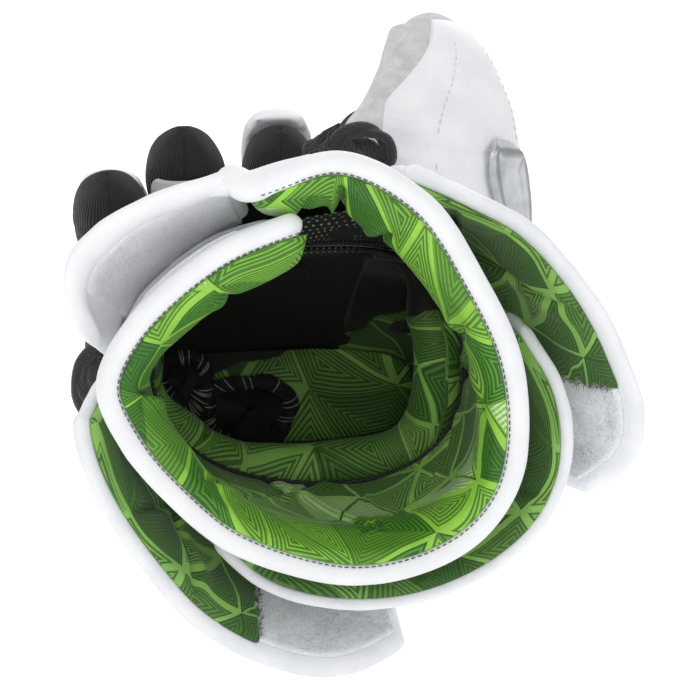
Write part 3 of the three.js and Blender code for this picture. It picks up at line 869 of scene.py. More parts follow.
def pillow(strip, span, outer, inner, edge, inset=0.0, far=0.0, step=1.8, swell=None, hollow=None,
           end_edge=None, ragged=None, rounding=0.0):
    """A padded strip between two depths. swell and hollow add height outwards and inwards at (s, across, y).

    ragged, a function of y, moves the strip's last end along it by that many mm. rounding is the radius of
    the rim's corners at both ends.
    """
    s0, s1 = span
    length = strip.rim.length * (s1 - s0)
    width = strip.root_y - strip.rim_y - inset - far
    end_edge = end_edge or edge
    a = spaced(length, step, end_edge)
    b = spaced(width, step, edge) / width
    along, across = grid(a, b)
    s = s0 + (s1 - s0) * along / length
    near = strip.near_y(s) + inset
    corner = np.clip(rounding - np.minimum(along, length - along), 0, rounding)
    near = near + rounding - np.sqrt(rounding ** 2 - corner ** 2)
    reach = strip.root_y - far - near
    y = near + reach * across
    if ragged:
        s = s + ragged(y) / strip.rim.length * ease(along, length - 12, length)
    share = (y - strip.rim_y) / (strip.root_y - strip.rim_y)
    round_off = crown(np.minimum(along, length - along), end_edge) * both_ends(across, reach, edge)
    top, bottom = outer(share), inner(share)
    middle, half = (top + bottom) / 2, (bottom - top) / 2
    from_edge = y - near
    up = swell(s, from_edge, y) if swell else 0
    down = hollow(s, from_edge, y) if hollow else 0
    front = strip.place(s, y, middle - (half + up) * round_off)
    back = strip.place(s, y, middle + (half + down) * round_off)
    return skin(front, back, np.stack((along, run_along(back, 1)), -1))


def creased(strip, size=0.5, scale=13.0, seed=1):
    """Soft unevenness of leather over foam."""
    def height(s, from_edge, y):
        place = strip.place(s, y, 0.0)
        return size * (noise(place, scale, seed) + 0.5 * noise(place, scale / 2.3, seed + 1))
    return height


def tucks(strip, seed, size=0.45, pitch=5.0, reach=7.0):
    """Small puckers that run in from a sewn edge and die away."""
    def height(s, from_edge, y):
        along = s * strip.rim.length
        spot = np.stack((along, np.zeros_like(along), np.zeros_like(along)), -1)
        return size * noise(spot, pitch, seed) * np.exp(-from_edge / reach)
    return height


def fold(strip, s_at, slant, width, depth, start=0.0, end=60.0):
    """A crease across the strip at share s_at, slanting by `slant` mm to each mm in from the rim."""
    def height(s, from_edge, y):
        off = (s - s_at) * strip.rim.length - slant * from_edge
        shape = bell(off, 0, width) - 0.45 * bell(off, 2.2 * width, 1.6 * width)
        return -depth * shape * ease(from_edge, start, start + 4) * (1 - ease(from_edge, end - 8, end))
    return height


def folds(strip, *rows):
    """Several creases, each a row of fold()'s numbers."""
    return [fold(strip, *row) for row in rows]


def summed(*heights):
    return lambda s, from_edge, y: sum(h(s, from_edge, y) for h in heights)


def strip_seam(name, strip, s, y, depth, look, material, body, side=1):
    """Stitches along a strip. look is their pitch, length, radius and sink; side is -1 for the inner face."""
    line = strip.place(s, y, depth)
    piece(name, stitches(line, side * strip.outward(s, y), *look), material, body)


# The collar: a rolled white cover, and the puffy printed lining sewn inside the roll.
FOAM = sloped(7.4, 4.0)


def lining_bed(share):
    """Depth of the lining's outer side: it follows the roll round at the rim."""
    return FOAM(share) + 0.05 - 1.9 * np.exp(-share * 56 / 1.6)


def puff(s, from_edge, y):
    """How far the loose lining stands in, most beside the two ends of the wrap."""
    s = np.clip(s, 0, 1)
    most = 3.6 + 4.6 * bell(s, 0.07, 0.10) + 2.2 * bell(s, 0.27, 0.07) + 4.6 * bell(s, 0.86, 0.10)
    place = np.stack((s * COLLAR.rim.length, 0 * s, 0 * s), -1)
    most = most * (1 + 0.28 * noise(place, 19, 9))
    most = most * (0.35 + 0.65 * crown(np.minimum(s, 1 - s) * COLLAR.rim.length, 14))
    return most * bell(from_edge, 11.5, 10) + 0.5 * bell(from_edge, 26, 12)


piece("collar_cover", pillow(
    COLLAR, (0, 1), flat_depth(0), FOAM, edge=3.7, step=2.2, rounding=7.0,
    swell=summed(creased(COLLAR, 0.25, 16, 3),
                 lambda s, e, y: 0.35 * bell(e, 14, 7) - 0.5 * bell(e, 8.5, 1.1))),
    SOFT_WHITE, "collar", ["collar_band"])

collar_folds = summed(
    puff,
    tucks(COLLAR, 4, 0.55, 5.5, 7.0),
    creased(COLLAR, 0.55, 17, 5),
    *folds(COLLAR, (0.205, 0.5, 2.6, 3.4, 3), (0.295, 1.1, 2.2, 3.0, 5), (0.44, 1.3, 2.0, 2.2, 8),
           (0.52, -0.9, 2.0, 1.8, 10), (0.66, 0.8, 2.4, 2.4, 5), (0.765, -0.7, 2.4, 3.0, 4),
           (0.852, 0.4, 2.0, 2.6, 4), (0.925, -0.25, 2.2, 5.5, 0), (0.955, 0.5, 1.8, 2.6, 1),
           (0.09, -0.5, 2.0, 1.8, 3)))
piece("collar_lining_satin", pillow(
    COLLAR, (0, 1), lining_bed, lambda share: lining_bed(share) + 2.2, inset=1.2, far=-0.5,
    edge=2.4, end_edge=4.5, step=1.4, rounding=9.0, hollow=collar_folds),
    SATIN, "collar", ["collar_lining"])

seam_s = np.linspace(0.006, 0.994, 420)
seam_out = unit(-COLLAR.outward(seam_s, 0.95) - np.array((0, 1.0, 0)))
piece("collar_seam_stitches", stitches(COLLAR.place(seam_s, 0.95, 6.7), seam_out, 2.0, 1.3, 0.17, 0.12),
      SEAM_THREAD, "collar")
strip_seam("collar_topstitch", COLLAR, np.linspace(0.01, 0.99, 420), 8.5, 0.35, (3.4, 2.3, 0.26, 0.05),
           WHITE_THREAD, "collar")

# The stretch band and overlock seam at the collar's inner end.
root_s = np.linspace(0.0, 1.0, 300)
serge_line, serge_out = COLLAR.place(root_s, 57.0, 4.9), COLLAR.outward(root_s, 57.0)
wobble = 0.25 * np.sin(np.arange(300) * 1.9)[:, None] * serge_out
piece("collar_overlock", tube(serge_line + wobble, 1.7, 8), BLACK_RIB, "collar", ["collar_elastic"])
loops = []
for k in range(0, 298, 2):
    turn = np.linspace(0, 1.75 * math.pi, 9)
    ahead = unit(serge_line[k + 1] - serge_line[k])
    ring = (serge_line[k] + ahead * np.linspace(0, 1.3, 9)[:, None]
            + 1.85 * (np.cos(turn)[:, None] * -serge_out[k]
                      + np.sin(turn)[:, None] * np.array((0, -1.0, 0))))
    loops.append(tube(ring, 0.2, 5))
piece("collar_overlock_thread", join(loops), BLACK_THREAD, "collar")


# The three outer panels. Each is a white shell with its lining, and two have a loop tab beyond the lining.
def panel(name, strip, body, lined, creases, seed, replaced, border, thick=4.4, first=0.0, short=0.5):
    """A white shell `thick` mm deep from share `first` of the rim on, and its lining.

    The lining is sewn on `border` mm in from the rim, stops `short` mm before the root, and ends at share
    `lined`, where a loop tab takes over.
    """
    shell_height = summed(creased(strip, 0.45, 15, seed), lambda s, e, y: -0.6 * bell(e, 7, 0.9),
                          lambda s, e, y: 0.5 * bell(e, 3, 2.5) + 0.5 * bell(e, 20, 11))
    piece(f"{name}_shell", pillow(strip, (first, 1), flat_depth(0), flat_depth(thick), edge=2.4,
                                  end_edge=2.6, swell=shell_height),
          WHITE_LEATHER, body, [replaced])
    span = (first + 0.01, lined - 0.004 if lined < 1 else 0.985)
    fill = summed(tucks(strip, seed + 2, 0.5, 4.5, 6), creased(strip, 0.6, 15, seed + 3),
                  lambda s, e, y: 2.0 * bell(e, 10, 9), *folds(strip, *creases))

    def bed(share):
        return thick - 0.1 - 1.3 * np.exp(-share * (strip.root_y - strip.rim_y) / 1.2)

    saw = (lambda y: 1.3 * np.abs(y / 2.6 % 2 - 1) + 0.8 * np.sin(y * 0.9)) if lined < 1 else None
    piece(f"{name}_lining_knit", pillow(strip, span, bed, lambda share: bed(share) + 2.0, inset=border,
                                        far=short, edge=1.6, end_edge=1.6, step=1.4, hollow=fill, ragged=saw),
          PANEL_LINING, body, [f"{replaced}_lining"])
    s = np.linspace(span[0] + 0.005, span[1] - 0.005, 260)
    strip_seam(f"{name}_lining_stitches", strip, s, strip.near_y(s) + border + 0.5, thick + 0.75,
               (2.8, 1.9, 0.24, 0.0), SEAM_THREAD, body, side=-1)
    s = np.linspace(first + 0.02, 0.98, 300)
    for row, inset in enumerate((7.0, 9.6)):
        strip_seam(f"{name}_topstitch_{row + 1}", strip, s, strip.near_y(s) + inset,
                   -0.05 + 0.5 * (row == 0), (3.2, 2.2, 0.26, -0.1), GREY_THREAD, body)
    if lined < 1:
        loop_tab(name, strip, body, lined, thick, seed, replaced, short)


def pile_fibres(place, normal, seed, length=(0.5, 1.3)):
    rng = np.random.RandomState(seed)
    lean = unit(normal + 0.75 * rng.randn(len(place), 3) * 0.7)
    return spikes(place - 0.1 * normal, lean, rng.uniform(*length, len(place)), 0.055, seed)


def scattered(strip, span, inset, far, depth, count, seed):
    """Random points on a strip at a depth, with the direction off its inner face."""
    rng = np.random.RandomState(seed)
    s = rng.uniform(*span, count)
    near = strip.near_y(s) + inset
    y = near + (strip.root_y - far - near) * rng.rand(count)
    return strip.place(s, y, depth), -strip.outward(s, y)


def loop_tab(name, strip, body, lined, thick, seed, replaced, short):
    """The loop patch beyond a panel's lining, its fibres, and the frayed edge where they meet."""
    span = (lined + 0.004, 0.984)
    piece(f"{name}_loop_patch", pillow(strip, span, flat_depth(thick - 0.1), flat_depth(thick + 1.5),
                                       inset=3.2, far=short + 0.5, edge=0.9, end_edge=1.1, step=1.6,
                                       hollow=creased(strip, 0.35, 9, seed + 5)),
          PILE, body, [f"{replaced}_loop"])
    place, normal = scattered(strip, (span[0] + 0.004, span[1] - 0.004), 4.0, short + 1.5, thick + 1.6,
                              3200, seed)
    piece(f"{name}_loop_fibres", pile_fibres(place, normal, seed), PILE, body)
    frayed_edge(f"{name}_frayed_edge", strip, body, lined, thick, seed)


def frayed_edge(name, strip, body, lined, thick, seed):
    """Loose ends where the lining is cut and sewn down against the loop patch."""
    rng = np.random.RandomState(seed + 40)
    count = 260
    near = float(strip.near_y(lined)) + 4.2
    y = np.linspace(near, strip.root_y - 3, count) + rng.uniform(-0.5, 0.5, count)
    s = lined + rng.uniform(-0.002, 0.004, count)
    place = strip.place(s, y, thick + 1.7 + rng.uniform(-0.3, 0.5, count))
    inward = -strip.outward(s, y)
    tangent = unit(strip.place(s + 0.004, y, 4.0) - strip.place(s, y, 4.0))
    lean = unit(inward * rng.uniform(0.2, 1, (count, 1)) + tangent * rng.uniform(-0.6, 1.2, (count, 1))
                + 0.35 * rng.randn(count, 3))
    shape = spikes(place, lean, rng.uniform(0.9, 2.6, count), 0.1, seed + 41)
    piece(name + "_light", shape, WHITE_THREAD, body)
    place, lean, tangent = place[::2], lean[::2], tangent[::2]
    shape = spikes(place + 0.3 * tangent, unit(lean + 0.4 * tangent), rng.uniform(0.8, 2.0, len(place)),
                   0.12, seed + 42)
    piece(name + "_dark", shape, BLACK_THREAD, body)


panel("back_panel", BACK, "back_panel", 1.0,
      [(0.3, 0.5, 1.8, 1.6), (0.62, -0.6, 1.8, 1.4)], 21, "cuff_back", 1.0, 3.5, short=4.0)
panel("thumb_wing", THUMB_WING, "thumb_wing", 0.70,
      [(0.12, 0.5, 1.8, 1.8), (0.5, -0.7, 2.0, 1.6)], 31,
      "cuff_thumb_wing", 2.8)
panel("little_wing", LITTLE_WING, "little_wing", 0.68,
      [(0.3, 0.6, 1.8, 1.4), (0.52, -0.5, 2.0, 1.8)], 41,
      "cuff_little_wing", 2.0, first=0.085, short=7.0)

for name, strip, span, node, body in (
        ("back_hook_patch_thumb", BACK, (0.12, 0.26), "cuff_back_hook_thumb", "back_panel"),
        ("back_hook_patch_little", BACK, (0.76, 0.92), "cuff_back_hook_little", "back_panel"),
        ("underlap_hook_strip", COLLAR, (0.045, 0.13), "underlap_hook_patch", "collar")):
    stand = 0.7 if strip is COLLAR else 1.7
    piece(name, pillow(strip, span, flat_depth(-stand), flat_depth(0.2), inset=14, far=18, edge=0.6,
                       step=1.6),
          PILE, body, [node])

# The closure tab: puffy white leather with a rolled rim, and a long loop patch on the side that faces the
# wrist. Its root lies down on the collar.
TAB = Strip(rim=[(-22, 57), (-36, 53.5), (-49, 49), (-60, 43), (-69, 34), (-72, 23), (-69, 11)],
            root=[(-15, 38), (-26, 32), (-37, 24.5), (-47, 15), (-52.5, 5), (-56, -2), (-58, -9)],
            rim_y=4, root_y=48, side=-1, curl=(0, 16))
TAB_THICK = 3.6


def tab_outside(s, from_edge, y):
    return 0.6 * bell(from_edge, 5, 4.5) + 0.8 * bell(from_edge, 24, 12) - 0.4 * bell(from_edge, 11.5, 1.1)


def tab_inside(s, from_edge, y):
    """A soft roll along the rim, and the face behind it standing in a little."""
    return 1.5 * (1 - ease(from_edge, 5.5, 9.0)) + 1.6 * bell(from_edge, 30, 13)


piece("closure_tab_cover", pillow(
    TAB, (0, 1), flat_depth(0), flat_depth(TAB_THICK), edge=3.2, end_edge=3.4, step=1.5,
    swell=summed(tab_outside, creased(TAB, 0.5, 11, 51)),
    hollow=summed(tab_inside, creased(TAB, 0.45, 12, 53))),
    SOFT_WHITE, "closure", ["closure_tab"])
piece("closure_loop", pillow(
    TAB, (0.05, 0.80), flat_depth(TAB_THICK - 0.4), flat_depth(TAB_THICK + 0.9), inset=8.0, edge=1.2,
    step=1.3, hollow=summed(lambda s, e, y: 1.6 * bell(e, 22, 13), creased(TAB, 0.55, 8, 55))),
    TAB_PILE, "closure", ["closure_loop_patch"])
place, normal = scattered(TAB, (0.06, 0.79), 9.0, 2.0, TAB_THICK + 1.9, 3000, 57)
piece("closure_loop_fibres", pile_fibres(place, normal, 57, (0.3, 0.8)), TAB_PILE, "closure")

# The roll of leather that carries the collar's upper end on into the tab.
turn = spline([COLLAR.place(0.95, 5.0, 3.6), COLLAR.place(0.975, 4.6, 3.4), COLLAR.place(0.999, 5.2, 3.0),
               TAB.place(0.02, 7.0, 2.6), TAB.place(0.06, 8.0, 2.8), TAB.place(0.12, 9.0, 2.8)], 0.8)
turn_share = np.linspace(0, 1, len(turn))
fat = 3.9 + 0.5 * np.sin(np.linspace(0, math.pi, len(turn))) - 1.6 * ease(turn_share, 0.75, 1)
hinge_v, hinge_f, hinge_uv = tube(turn, fat, 28)
hinge_v = hinge_v + 0.25 * noise(hinge_v, 6, 58)[:, None]
obj = piece("closure_hinge_leather", (hinge_v, hinge_f, hinge_uv), SOFT_WHITE)
bend(obj, "collar", "closure", turn[int(len(turn) * 0.3)], turn[int(len(turn) * 0.75)])

# A padded ridge on the collar that the tab's root comes down on.
ridge = pillow(COLLAR, (0.012, 0.24), flat_depth(-1.6), flat_depth(0.4), inset=36, far=3, edge=1.0,
               end_edge=5, step=1.6, swell=creased(COLLAR, 0.4, 9, 59))
piece("closure_landing_pad", ridge, SOFT_WHITE, "collar")


# ---- Hand ----

WALL = 3.0
HAND_START, HAND_END = 62, 148.0
SECTION_POWER = 3.2
WRIST_SLOPE = math.tan(math.radians(11))


def hand_section(v):
    """Inside of the hand at share v from wrist to knuckles: half width, low, high and middle x."""
    rise = v * v * (3 - 2 * v)
    low = -62 + 5 * (1 - np.minimum(1, 4 * v)) ** 2
    return 47 + 7 * rise, low, 16 - 54 * rise, 6 - 9 * rise


def hand_point(angle, v, out):
    """A point on the hand: angle 0 is the palm's middle, a quarter turn is the thumb side."""
    angle, v, out = np.broadcast_arrays(np.asarray(angle, float), v, out)
    half, low, high, x = hand_section(v)
    c, s, r = rounded(angle, SECTION_POWER)
    z = (high + low) / 2 + ((high - low) / 2 + out) * r * s
    start = HAND_START + WRIST_SLOPE * np.abs(z - WRIST_FOLD[2])
    return np.stack((x + (half + out) * r * c, start + (HAND_END - start) * v, z), -1)


def hand_sheet(angles, shares, low, high, edge=1.2, swell=None, hollow=None, ring=False):
    """A closed layer on the hand between two offsets from its inside."""
    angle, v = grid(angles, shares)
    middle, half = (low + high) / 2, (high - low) / 2
    flat = hand_point(angle, v, middle)
    run_v, run_a = run_along(flat, 1), run_along(flat, 0)
    h = crown(np.minimum(run_v, run_v[:, -1:] - run_v), edge)
    if not ring:
        h = h * crown(np.minimum(run_a, run_a[-1:] - run_a), edge)
    up = swell(flat, run_a, run_v) if swell else 0
    down = hollow(flat, run_a, run_v) if hollow else 0
    front = hand_point(angle, v, middle + (half + up) * h)
    back = hand_point(angle, v, middle - (half + down) * h)
    return skin(front, back, np.stack((run_a, run_v), -1), ring)


def lumpy(size, scale, seed):
    return lambda flat, a, v: size * (noise(flat, scale, seed) + 0.5 * noise(flat, scale / 2.1, seed + 1))


SHARES = spaced(1.0, 0.022, 0.02)
RING = full_turn(150)
FLOOR_SPAN = np.linspace(math.radians(24), math.radians(296), 120)
CEILING_SPAN = np.linspace(math.radians(-68), math.radians(30), 80)


def floor_puff(flat, a, v):
    """The knit floor: quilted channels along the fingers, deeper towards the knuckles."""
    channel = 0.9 * np.cos(flat[..., 0] * 2 * math.pi / 29) * ease(v, 20, 50)
    return 1.2 * noise(flat, 19, 61) + 0.5 * noise(flat, 8, 62) + channel + 2.2 * bell(v, 12, 9)


piece("hand_floor_knit", hand_sheet(FLOOR_SPAN, SHARES, 0.4, WALL - 0.2, hollow=floor_puff), HAND_KNIT,
      "hand", ["hand_lining"])
piece("hand_ceiling_mesh", hand_sheet(CEILING_SPAN, SHARES, 1.1, WALL - 0.1,
                                      hollow=lambda flat, a, v: 0.7 * noise(flat, 15, 64)
                                      + 3.0 * ease(v, 30, 60) * (0.4 + noise(flat, 21, 65))),
      BLACK_MESH, "hand", ())
piece("hand_outer_leather", hand_sheet(RING, 0.09 + 0.91 * SHARES, WALL - 0.1, WALL + 0.7,
                                       swell=lumpy(0.25, 14, 66), ring=True),
      WHITE_LEATHER, "hand", ())

# The padded roll at the wrist end of the hand's lining, fat on the floor and on the thumb side.
roll_angle = np.linspace(math.radians(22), math.radians(268), 170)
roll_fat = (ease(roll_angle, math.radians(30), math.radians(62))
            * (1 - ease(roll_angle, math.radians(232), math.radians(272))))
roll_line = hand_point(roll_angle, 0.075, -4.6 * roll_fat + 0.5)
roll_radius = 1.2 + 7.6 * roll_fat + 0.8 * noise(roll_line, 16, 71) * roll_fat
roll_v, roll_f, roll_uv = tube(roll_line, roll_radius, 44)
dent = 0.45 * noise(roll_v, 9, 72)[:, None]
roll_v = roll_v + dent * unit(roll_v - np.array((3.0, 70.0, -22.0)))
piece("wrist_roll", (roll_v, roll_f, roll_uv), HAND_KNIT, "hand", ())


def fan(rim, middle, share):
    """A grid from a closed rim in to its middle."""
    return middle + (rim[:, None] - middle) * share[None, ::-1, None]


def flat_wall(front, thick):
    """A fan of points made `thick` mm deep along Y."""
    uv = np.stack((front[..., 0], front[..., 2]), -1)
    return double_wall(front, front + np.array((0, thick, 0)), uv)


def finger_wall():
    """The knitted wall before the fingers."""
    v, y = 0.72, 124.0
    rim = hand_point(full_turn(120), v, -0.6)
    _, low, high, _ = hand_section(v)
    front = fan(rim, np.array((-3.0, y, float(low + high) / 2)), np.linspace(0, 1, 26))
    front[..., 1] = y - 1.0 + 0.6 * noise(front, 12, 74)
    return flat_wall(front, 2.0)


piece("finger_wall_knit", finger_wall(), HAND_KNIT, "hand", ["finger_entry"])


def hole_at(x, z, half_width, half_height, seed, light_share):
    """An overlocked opening to the fingers: a fat rim, a near-black sheet across it as painted shade inside,
    and its loose thread.
    """
    centre = np.array((x, 120.0, z))
    turn = full_turn(96)
    circle = np.stack((np.cos(turn), 0 * turn, np.sin(turn)), -1)
    reach = 1 + 0.26 * noise(circle * 10, 9, seed) + 0.08 * np.sin(3 * turn + seed)
    ring = centre + circle * reach[:, None] * (half_width, 0, half_height)
    ring[:, 1] += 1.6 * noise(ring, 9, seed + 1)
    closed = np.vstack((ring, ring[:2]))
    fat = 2.5 + 0.5 * noise(closed, 6, seed + 2)
    rim = tube(closed, fat, 14)
    share = np.linspace(0, 1, 8)
    mouth = fan(ring, centre, share)
    mouth[..., 1] += 1.2 * (1 - share[None, ::-1] ** 2)
    # painted shade: a near-black sheet across the opening
    dark = flat_wall(mouth, 1.0)
    rng = np.random.RandomState(seed)
    strands = {True: [], False: []}
    for k in range(96):
        out = unit(ring[k] - centre)
        bend = np.linspace(-0.2, 1.15, 7) * math.pi + rng.uniform(-0.4, 0.4)
        arc = ring[k] + (fat[k] + 0.3) * (-np.cos(bend)[:, None] * out - np.sin(bend)[:, None] * (0, 1, 0))
        arc = arc + np.linspace(-1, 1, 7)[:, None] * rng.uniform(0.4, 1.2) * np.cross(out, (0, 1, 0))
        strands[bool(rng.rand() < light_share)].append(tube(arc, 0.18 + 0.08 * rng.rand(), 5))
    return rim, dark, join(strands[True]), join(strands[False])


# painted shade: near-black sheets fill the openings where the inside is in shade
SHADE_FILL = thread("painted_shade_fill", (0.0012, 0.0012, 0.0012), (0.003, 0.003, 0.003))
for name, hole in (("outer_fingers", (-30.5, -38.5, 7.0, 10.0, 301, 0.22)),
                   ("inner_fingers", (-7.5, -49.0, 15.5, 10.5, 307, 0.16))):
    rim, dark, light_strands, dark_strands = hole_at(*hole)
    piece(f"{name}_entry_rim", rim, BLACK_RIB, "hand")
    piece(f"{name}_entry_shade_fill", dark, SHADE_FILL, "hand")
    piece(f"{name}_entry_thread_light", light_strands, GREY_THREAD, "hand")
    piece(f"{name}_entry_thread_dark", dark_strands, BLACK_THREAD, "hand")

# Palm: dark mesh at the heel, then leather to the knuckles, creased where the hand closes.
HAND_CORNERS = 28  # corners round the frame's hand
PALM_HALF = 5 * 2 * math.pi / HAND_CORNERS
palm_angles = np.linspace(-PALM_HALF, PALM_HALF, 90)


def palm_creases(flat, a, v):
    x, y = flat[..., 0], flat[..., 1]
    deep = 0
    for base, slant, width, depth in ((96, 0.10, 1.6, 1.1), (112, -0.16, 1.8, 1.3), (131, 0.05, 1.7, 1.2),
                                      (121, 0.22, 1.2, 0.7), (140, -0.07, 1.2, 0.7),
                                      (87, -0.25, 1.2, 0.7)):
        off = y - base - slant * x - 2.0 * noise(flat, 22, 83)
        deep = deep + depth * (bell(off, 0, width) - 0.4 * bell(off, 2.4 * width, 1.8 * width))
    return 0.9 * noise(flat, 17, 81) + 0.4 * noise(flat, 7, 82) - deep


HEEL = 0.262  # share of the hand where the palm's leather starts
leather_shares = HEEL + (0.995 - HEEL) * spaced(1.0, 0.016, 0.02)
mesh_shares = 0.012 + (HEEL - 0.012) * spaced(1.0, 0.06, 0.06)
piece("palm_leather_cover", hand_sheet(palm_angles, leather_shares, WALL + 0.8, WALL + 2.6, edge=1.0,
                                       swell=palm_creases),
      PALM_SUEDE, "hand", ["palm_leather"])
piece("palm_heel_mesh", hand_sheet(palm_angles, mesh_shares, WALL + 0.6, WALL + 2.0, edge=0.8,
                                   swell=lumpy(0.7, 12, 85)), BLACK_RIB, "hand", ["palm_mesh"])
seam_angles = np.linspace(-PALM_HALF + 0.03, PALM_HALF - 0.03, 220)
for row, v in enumerate((0.275, 0.293, 0.975)):
    line = hand_point(seam_angles, v, WALL + 2.75)
    out = unit(line - hand_point(seam_angles, v, 0.0))
    piece(f"palm_seam_{row + 1}", stitches(line, out, 3.0, 2.1, 0.27, 0.0), GREY_THREAD, "hand")

# A padded white panel along each side of the hand.
edge_angles = np.linspace(-9, -5.15, 46) * 2 * math.pi / HAND_CORNERS
thumb_edge_angles = np.linspace(5.15, 9, 46) * 2 * math.pi / HAND_CORNERS
edge_shares = 0.03 + 0.95 * spaced(1.0, 0.02, 0.03)


def edge_quilt(flat, a, v):
    return 1.1 * noise(flat, 16, 87) - 1.6 * bell(v, 44, 1.5) - 1.3 * bell(a, a.max() * 0.5, 1.4)


piece("edge_pad_cover", hand_sheet(edge_angles, edge_shares, WALL + 0.6, WALL + 6.2, edge=4.0,
                                   swell=edge_quilt), WHITE_LEATHER, "hand", ["edge_pad"])
piece("thumb_side_panel", hand_sheet(thumb_edge_angles, edge_shares, WALL + 0.6, WALL + 2.6, edge=1.6,
                                     swell=lumpy(0.6, 13, 88)), WHITE_LEATHER, "hand", ())

# A black fabric fold closes the hand's far end between the finger stalls.
end_share = np.linspace(0, 1, 16)
end_front = fan(hand_point(RING, 0.985, 1.5), np.array((-3.0, HAND_END, -50.0)), end_share)
end_front[..., 1] = HAND_END - 2.0 + 2.5 * (1 - end_share[None, ::-1] ** 2) + 0.8 * noise(end_front, 12, 89)
piece("knuckle_fold", flat_wall(end_front, -1.6), BLACK_RIB, "hand")


# ---- Back of the hand ----


def cushion(low, high, edge=6.0, step=2.2):
    """A padded block between two corners, with sides that round over and a plan with soft corners."""
    low, high = np.asarray(low, float), np.asarray(high, float)
    size = high - low
    a, b = spaced(size[0], step, edge), spaced(size[1], step, edge)
    x, y = grid(a / size[0] * 2 - 1, b / size[1] * 2 - 1)
    px = x * np.sqrt(1 - 0.3 * y ** 8 * 0.12)
    py = y * np.sqrt(1 - 0.3 * x ** 8 * 0.12)
    across, along = grid(a, b)
    h = crown(np.minimum(across, size[0] - across), edge) * crown(np.minimum(along, size[1] - along), edge)
    middle = (low + high) / 2
    plan = (middle[0] + px * size[0] / 2, middle[1] + py * size[1] / 2)
    top = np.stack((*plan, middle[2] + size[2] / 2 * h), -1)
    bottom = np.stack((*plan, middle[2] - size[2] / 2 * h), -1)
    return skin(top, bottom, np.stack((across, along), -1))


def node_box(node):
    low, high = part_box(node)
    return to_glove(low), to_glove(high)


def mesh_of(obj):
    """The object's mesh with its modifiers applied."""
    graph = bpy.context.evaluated_depsgraph_get()
    return bpy.data.meshes.new_from_object(obj.evaluated_get(graph))


def coordinates(mesh):
    co = np.zeros(len(mesh.vertices) * 3)
    mesh.vertices.foreach_get("co", co)
    return co.reshape(-1, 3)


CLOTH = {"quality": 6, "tension_stiffness": 12, "compression_stiffness": 12, "bending_stiffness": 0.6,
         "use_pressure": True, "uniform_pressure_force": 4.0}
CLOTH_FRAMES = 20


def inflated(objects, voxel, most):
    """Blows closed pads up as cloth, keeps each point within `most` mm of its start and off the floor, and
    smooths them."""
    for obj in objects:
        remesh = obj.modifiers.new("remesh", "REMESH")
        remesh.mode = "VOXEL"
        remesh.voxel_size = voxel * MM
        mesh = mesh_of(obj)
        obj.modifiers.clear()
        obj.data = mesh
        cloth = obj.modifiers.new("cloth", "CLOTH")
        for key, value in CLOTH.items():
            setattr(cloth.settings, key, value)
        cloth.settings.effector_weights.gravity = 0
        cloth.collision_settings.use_collision = False
    starts = {obj.name: coordinates(obj.data) for obj in objects}
    scene = bpy.context.scene
    for frame_number in range(1, CLOTH_FRAMES + 1):
        scene.frame_set(frame_number)
    swollen = {obj.name: mesh_of(obj) for obj in objects}
    scene.frame_set(1)
    for obj in objects:
        obj.modifiers.clear()
        start, mesh = starts[obj.name], swollen[obj.name]
        move = coordinates(mesh) - start
        size = np.linalg.norm(move, axis=1, keepdims=True)
        move *= np.minimum(1, most * MM / np.maximum(size, 1e-12))
        place = to_glove(start + move)
        place[:, 2] = np.maximum(place[:, 2], FLOOR + 0.15)
        place = to_row(place)
        mesh.vertices.foreach_set("co", place.astype(np.float32).ravel())
        mesh.update()
        obj.data = mesh
    for obj in objects:
        smooth = obj.modifiers.new("smooth", "SUBSURF")
        smooth.levels = smooth.render_levels = 1
        obj.data = mesh_of(obj)
        obj.modifiers.clear()
    return objects


back_blocks = ["back_pad_wrist", "back_pad_little_side", "back_pad_thumb_side", "knuckle_pad_little_side",
               "knuckle_pad_thumb_side"]
pads = []
for node in back_blocks:
    low, high = node_box(node)
    pads.append(add_mesh(f"{node}_cushion", *cushion(low + (0.6, 0.6, 1.2), high - (0.6, 0.6, 0.4))))
for obj, node in zip(inflated(pads, 4.2, 2.5), back_blocks):
    fitted(finish_mesh(obj, WHITE_LEATHER), "hand", [node])
    low, high = node_box(node)
    mid = (low[2] + high[2]) / 2 + 2.0
    left, right, near, far = low[0] - 0.4, high[0] + 0.4, low[1] - 0.4, high[1] + 0.4
    outline = [(high[0] - 5, far, mid), (right, high[1] - 5, mid), (right, low[1] + 5, mid),
               (high[0] - 5, near, mid), (low[0] + 5, near, mid), (left, low[1] + 5, mid),
               (left, high[1] - 5, mid), (low[0] + 5, far, mid)]
    piece(f"{node}_piping", tube(spline(outline, 1.6, closed=True), 0.75, 8), SOFT_WHITE, "hand")

piece("back_carrier_leather", cushion(*node_box("back_carrier"), edge=1.0, step=4), WHITE_LEATHER, "hand",
      ["back_carrier"])
piece("back_plate_sheet", cushion(*node_box("back_plate"), edge=0.6, step=4), PLATE, "hand", ["back_plate"])


# ---- Fingers ----

TIP_BEND = math.radians(30)
SEGMENTS = ("proximal", "middle", "tip")
STALL_HALF, STALL_DEPTH, PAD_THICK = 12.4, 22.0, 15.0
KNIT_WALL = 1.2


